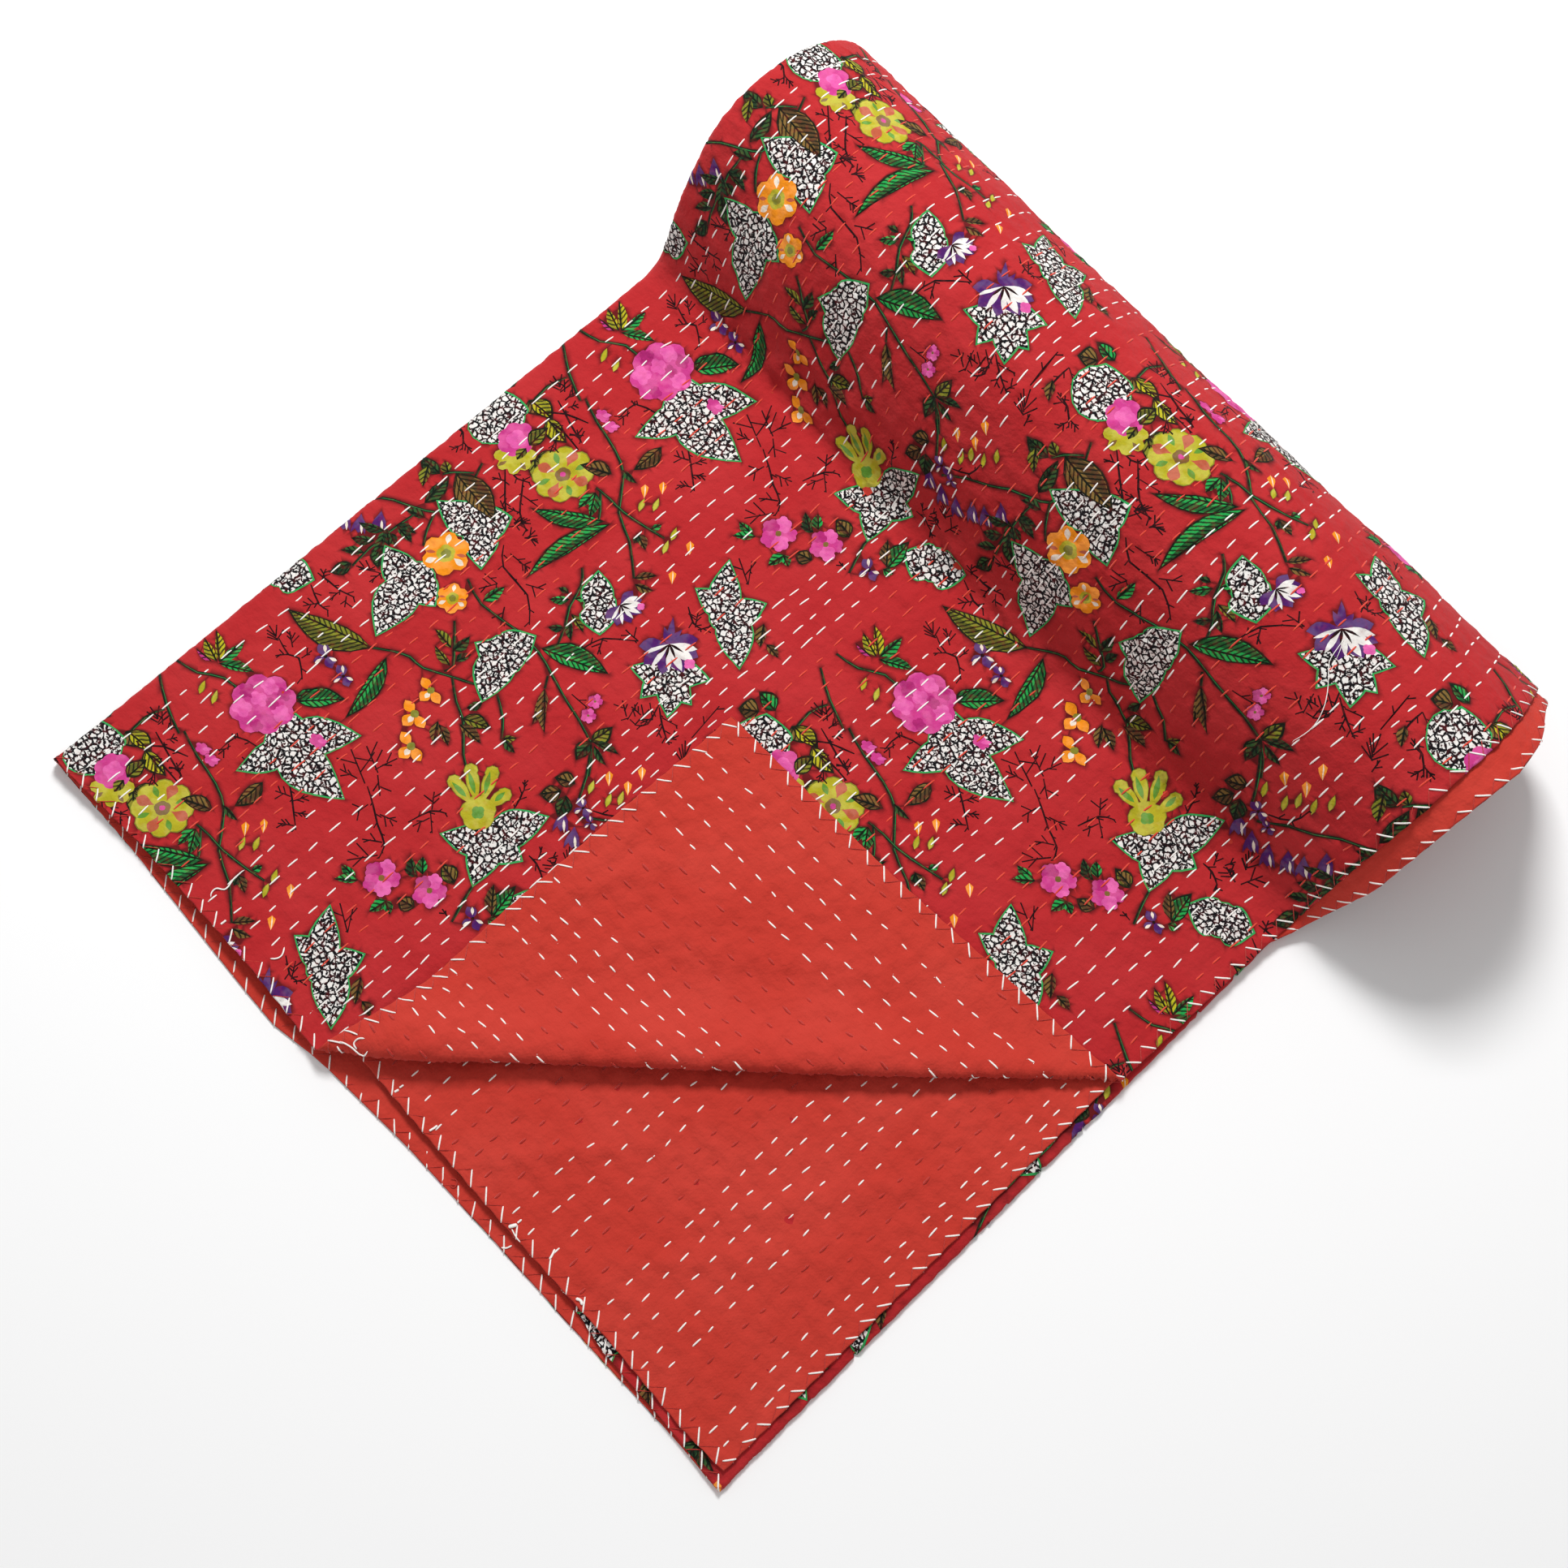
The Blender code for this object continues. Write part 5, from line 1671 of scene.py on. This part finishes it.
TOP_COLUMNS = np.concatenate((rows_in(row_columns(HEM_IN, TOP_END, 0.0045)[:-1]),
                              steps((TOP_END, BOTTOM_START, 0.0016))))
INNER_COLUMNS = inner_columns([], 0.010, 0.0006, (SECOND_START, HEM_OUT, 0.010))
TOP_OPEN = 0.36
SECOND_OPEN = SECOND_START + 0.20
BACK_START = steps((HEM_IN, TOP_OPEN, 0.0030), (TOP_OPEN, TOP_END, 0.010),
                   (TOP_END, BOTTOM_START, 0.0015))[:-1]
BACK_COLUMNS = inner_columns(rows_in(BACK_START), 0.014, 0.0008,
                             (SECOND_START, SECOND_OPEN, 0.010), (SECOND_OPEN, HEM_OUT, 0.0030))
TOP_ROWS = rows_in(steps((HEM_IN, RUN_END, 0.0046)))
INNER_ROWS = rows_in(steps((HEM_IN, 0.05, 0.0034), (0.05, RUN_END, 0.010)))
BACK_ROWS = rows_in(steps((HEM_IN, 0.45, 0.0034), (0.45, RUN_END, 0.008)))
WOUND_ROWS = np.concatenate((
    steps((RUN_END, WOUND_FINE, 0.0085), (WOUND_FINE, CLOTH_LENGTH - 0.0009, 0.0045)),
    [CLOTH_LENGTH - 0.0004, CLOTH_LENGTH],
))

top_print = printed_cloth("top_print", TOP_COLUMNS, TOP_ROWS)
inner_print = printed_cloth("inner_print", INNER_COLUMNS, INNER_ROWS, False, in_sight)
back = cloth_grid("plain_back_cloth", BACK_COLUMNS, BACK_ROWS, PLAIN, BACK_CLOTH)
wound_print = cloth_grid("wound_print", wound_columns(), WOUND_ROWS, PRINTED,
                         PRINT_MATERIALS[GROUND_SLOT])
wound_back = cloth_grid("wound_back", wound_columns(), WOUND_ROWS, PLAIN, BACK_CLOTH)

# ---- the running stitch

STITCH_RINGS = np.array([0.0, 0.05, 0.30, 0.70, 0.95, 1.0])
STITCH_PROUD = np.array([-0.00055, -0.00005, 0.00022, 0.00022, -0.00005, -0.00055])
STITCH_WIDTH = np.array([0.0, 0.00038, 0.00056, 0.00056, 0.00038, 0.0])
STITCH_HEIGHT = np.array([0.0, 0.00026, 0.00038, 0.00038, 0.00026, 0.0])
STITCH_FROM_HEM = 0.003
STITCH_ASLANT = 0.00035
RED_WIDER = 1.3
CORNER_MARGIN, SECOND_MARGIN = 0.03, 0.04


def running_stitches(name, face, keep):
    """Every stitch of the rows on one face that keep(w, run) lets through, each a little aslant."""
    row = np.repeat(np.arange(len(ROW_W)), STITCHES_IN_ROW)
    start, step = STITCH_START.ravel(), STITCH_STEP.ravel()
    printed = STITCH_SHARE.ravel() * step
    begin = start if face == PRINTED else start + printed
    size = printed if face == PRINTED else step - printed
    chosen = (begin > STITCH_FROM_HEM) & (begin + size < CLOTH_LENGTH - STITCH_FROM_HEM)
    chosen &= keep(ROW_W[row], begin + size / 2)
    row, begin, size = row[chosen], begin[chosen], size[chosen]
    run = begin[:, None] + size[:, None] * STITCH_RINGS
    aslant = np.random.default_rng(5).normal(0, STITCH_ASLANT, (2, len(row), 1))
    w = row_place(row[:, None], run) + aslant[0] + aslant[1] * (STITCH_RINGS - 0.5)
    plain_red = ~ROW_WHITE[row] & (face == PLAIN)
    wide = np.ones(run.shape) * np.where(plain_red, RED_WIDER, 1.0)[:, None]
    return laid_threads(
        name, w, run, face, STITCH_PROUD * np.ones(run.shape), STITCH_WIDTH * wide,
        STITCH_HEIGHT * wide, [WHITE, RED if face == PRINTED else DARK_RED],
        np.where(ROW_WHITE[row], 0, 1),
    )


def open_print(w, run):
    """The printed side of the top layer."""
    return (w < TOP_END) & (run < RUN_END)


def under_print(w, run):
    """The printed side of the bottom layer."""
    return (w > BOTTOM_START) & (w < BOTTOM_END) & (run < RUN_END)


def open_plain(w, run):
    """Plain side that lies open: the turned corner, and the second layer where it is uncovered."""
    corner = (w < TOP_END) & (past_fold(top_x(w), run) > -CORNER_MARGIN)
    second = (w > SECOND_START) & (past_fold(second_x(w), run) > -SECOND_MARGIN)
    return (run < RUN_END) & (corner | second)


running_stitches("stitches_top", PRINTED, open_print)
running_stitches("stitches_under", PRINTED, under_print)
running_stitches("stitches_back", PLAIN, open_plain)

# ---- the hem stitches

HEM_REACH = 0.0068
LAST_REACH = HEM_REACH * 0.72
HEM_SEED = 40
HEM_UNEVEN = 0.0009
HEM_DEEP = (0.85, 1.15)
HEM_LEAN = (0.40, 0.56)
LEG_RINGS = np.array([0.0, 0.04, 0.25, 0.5, 0.75, 0.95, 1.0])
LEG_TAPER = np.array([0.0, 0.75, 1.0, 1.0, 1.0, 0.75, 0.0])
LEGS = (0.00052, 0.00026)
LEG_FLAT = 0.75
LEG_FROM_END = 0.0005
EDGE_WIDE, EDGE_PROUD, IN_PROUD, END_SUNK = 0.0007, 0.00025, 0.0002, -0.0004


def zigzag(name, face, length, to_cloth, seed, lean_back, reach):
    """The zigzag stitch along a hem: straight legs, a white one slanting in from the edge and a
    thin red one back to it, each a little uneven in place, depth and lean."""
    dice = np.random.default_rng(seed)
    count = int(length / HEM_PITCH)
    start = (np.arange(count) + 0.5) * HEM_PITCH + dice.normal(0, HEM_UNEVEN, count)
    deep = reach * dice.uniform(*HEM_DEEP, count)[:, None]
    lean = HEM_PITCH * dice.uniform(*HEM_LEAN, count)[:, None]
    start = start[:, None]
    along = np.concatenate((start + lean * LEG_RINGS,
                            start + lean + (HEM_PITCH - lean) * LEG_RINGS))
    if lean_back:
        along = length - along
    along = np.clip(along, LEG_FROM_END, length - LEG_FROM_END)
    inwards = np.concatenate((deep * LEG_RINGS, deep * (1 - LEG_RINGS)))
    w, run = to_cloth(along, inwards)
    thick = np.repeat(LEGS, count)[:, None] * LEG_TAPER
    proud = np.where(inwards < EDGE_WIDE, EDGE_PROUD, IN_PROUD)
    proud[:count, -1] = END_SUNK
    return laid_threads(name, w, run, face, proud, thick, thick * LEG_FLAT, [WHITE, DARK_RED],
                        np.repeat([0, 1], count))


# Hems: name, length, cloth place from the length along and the distance in, the stitch's reach,
# and the face on which it leans the other way.
HEMS = (
    ("near", CLOTH_WIDTH, lambda along, inwards: (along, inwards), HEM_REACH, PLAIN),
    ("first", CLOTH_LENGTH, lambda along, inwards: (inwards, along), HEM_REACH, PRINTED),
    ("last", CLOTH_LENGTH, lambda along, inwards: (CLOTH_WIDTH - inwards, along),
     LAST_REACH, PLAIN),
)
SIDES = ((PRINTED, "print"), (PLAIN, "plain"))
for number, (label, length, to_cloth, reach, back_face) in enumerate(HEMS):
    for face, side in SIDES:
        zigzag(f"hem_{label}_{side}", face, length, to_cloth, HEM_SEED + number,
               face == back_face, reach)

# Loose threads and knots by face: half thickness, thread, then places across and along the cloth.
LOOSE = {
    PRINTED: (
        (0.00028, 0, ((0.0946, 0.614), (0.0925, 0.605), (0.0917, 0.5995), (0.088, 0.5955),
                      (0.083, 0.5905), (0.0765, 0.5825), (0.0722, 0.5725), (0.0712, 0.5655),
                      (0.0722, 0.559), (0.0731, 0.5545), (0.0738, 0.5525), (0.0728, 0.552))),
        (0.00018, 0, ((0.0946, 0.614), (0.0905, 0.606), (0.088, 0.599), (0.0862, 0.595))),
        (0.0005, 0, ((0.4346, 0.0099), (0.4371, 0.0117), (0.4372, 0.0162), (0.4327, 0.0178),
                      (0.4328, 0.0211), (0.4354, 0.0271), (0.4341, 0.035))),
        (0.0007, 0, ((0.4182, 0.0039), (0.418, 0.0058), (0.4178, 0.0078))),
        (0.0005, 0, ((0.383, 0.012), (0.38, 0.015), (0.3795, 0.019), (0.383, 0.0225))),
    ),
    PLAIN: (
        (0.0005, 0, ((0.2935, 0.0103), (0.2965, 0.0083), (0.3011, 0.0084), (0.3022, 0.01),
                      (0.3017, 0.0123))),
        (0.0005, 0, ((0.3085, 0.004), (0.306, 0.0062), (0.3035, 0.01), (0.3019, 0.0159),
                      (0.2989, 0.0167), (0.296, 0.0158))),
        (0.0008, 0, ((1.9881, 0.0024), (1.9884, 0.004), (1.9889, 0.0053))),
        (0.0006, 0, ((1.9883, 0.0062), (1.9886, 0.0075), (1.9889, 0.0091))),
        (0.0007, 0, ((2.0183, 0.0032), (2.0187, 0.006), (2.0189, 0.009))),
        (0.0011, 0, ((2.088, 0.0012), (2.0893, 0.0035), (2.0905, 0.006))),
        (0.0006, 0, ((2.0898, 0.0066), (2.0899, 0.0082), (2.0899, 0.0098))),
        (0.0004, 0, ((2.09, 0.002), (2.094, 0.001), (2.0986, 0.0006))),
        (0.0007, 0, ((2.1167, 0.0061), (2.1158, 0.0095), (2.1143, 0.0124))),
        (0.0009, 0, ((2.142, 0.0022), (2.1446, 0.0042), (2.147, 0.0026))),
        (0.0005, 0, ((0.9606, 0.0007), (0.9631, 0.0026), (0.9639, 0.0059))),
        (0.0003, 1, ((0.9133, 0.0053), (0.9155, 0.0083), (0.9183, 0.0061), (0.9184, 0.0028),
                      (0.915, 0.003))),
    ),
}
LOOSE_RINGS = 28
LOOSE_PROUD = 0.0004
LOOSE_FLAT = 0.85
LOOSE_THIN = 0.35


def loose_threads(name, face, lines):
    """Loose threads on a face: smooth curves through their places, their thickness a parabola."""
    t = np.linspace(0, 1, LOOSE_RINGS)
    places = []
    for _, _, points in lines:
        curve = smooth_curve((points[0],) * 2 + points + (points[-1],) * 2)
        gone = lengths_along(curve)
        places.append([np.interp(t * gone[-1], gone, curve[:, axis]) for axis in (0, 1)])
    places = np.array(places)
    taper = np.minimum(1, 6 * t * (1 - t) + LOOSE_THIN)
    thick = np.array([line[0] for line in lines])[:, None] * taper
    slots = np.array([line[1] for line in lines])
    return laid_threads(name, places[:, 0], places[:, 1], face, np.full(thick.shape, LOOSE_PROUD),
                        thick, thick * LOOSE_FLAT, [WHITE, DARK_RED], slots)


for face, side in SIDES:
    loose_threads(f"loose_{side}", face, LOOSE[face])

# ---- floor, light and camera

FLOOR_HALF = 6
WHITE_LIGHT = (1.0, 1.0, 1.0, 1.0)


def placed(name, data, place=(0, 0, 0), target=None):
    """An object in the scene, turned to face a target if one is given."""
    made = bpy.data.objects.new(name, data)
    made.location = place
    if target:
        toward = Vector(target) - Vector(place)
        made.rotation_euler = toward.to_track_quat("-Z", "Y").to_euler()
    bpy.context.scene.collection.objects.link(made)
    return made


def area_light(name, place, target, size, power):
    """A square soft light that faces a point."""
    light = bpy.data.lights.new(name, "AREA")
    light.shape, light.size, light.energy = "SQUARE", size, power
    placed(name, light, place, target)


floor_mesh = bpy.data.meshes.new("floor")
far = FLOOR_HALF
floor_corners = [(-far, -far, 0), (far, -far, 0), (far, far, 0), (-far, far, 0)]
floor_mesh.from_pydata(floor_corners, [], [(0, 1, 2, 3)])
floor_paint = Shader("pale_floor", sheen=0.0)
floor_paint.surface.inputs["Base Color"].default_value = (0.94, 0.94, 0.94, 1.0)
floor_mesh.materials.append(floor_paint.material)
floor = placed("floor", floor_mesh)

area_light("key", (-0.90, 0.92, 1.72), (0, 0.03, 0), 0.55, 40.0)
area_light("fill", (0.6, -1.4, 2.0), (0, 0, 0), 1.6, 4.0)

world = bpy.data.worlds.new("studio")
world.use_nodes = True
sky = world.node_tree.nodes["Background"].inputs
sky["Color"].default_value, sky["Strength"].default_value = WHITE_LIGHT, 0.44
bpy.context.scene.world = world
bpy.context.scene.view_settings.view_transform = "Standard"

camera_data = bpy.data.cameras.new("camera")
camera_data.lens, camera_data.sensor_width = 53.31, 36.0
bpy.context.scene.camera = placed(
    "camera", camera_data, (0.3392, -0.3528, 1.278), (0.0042, -0.0298, 0.0))
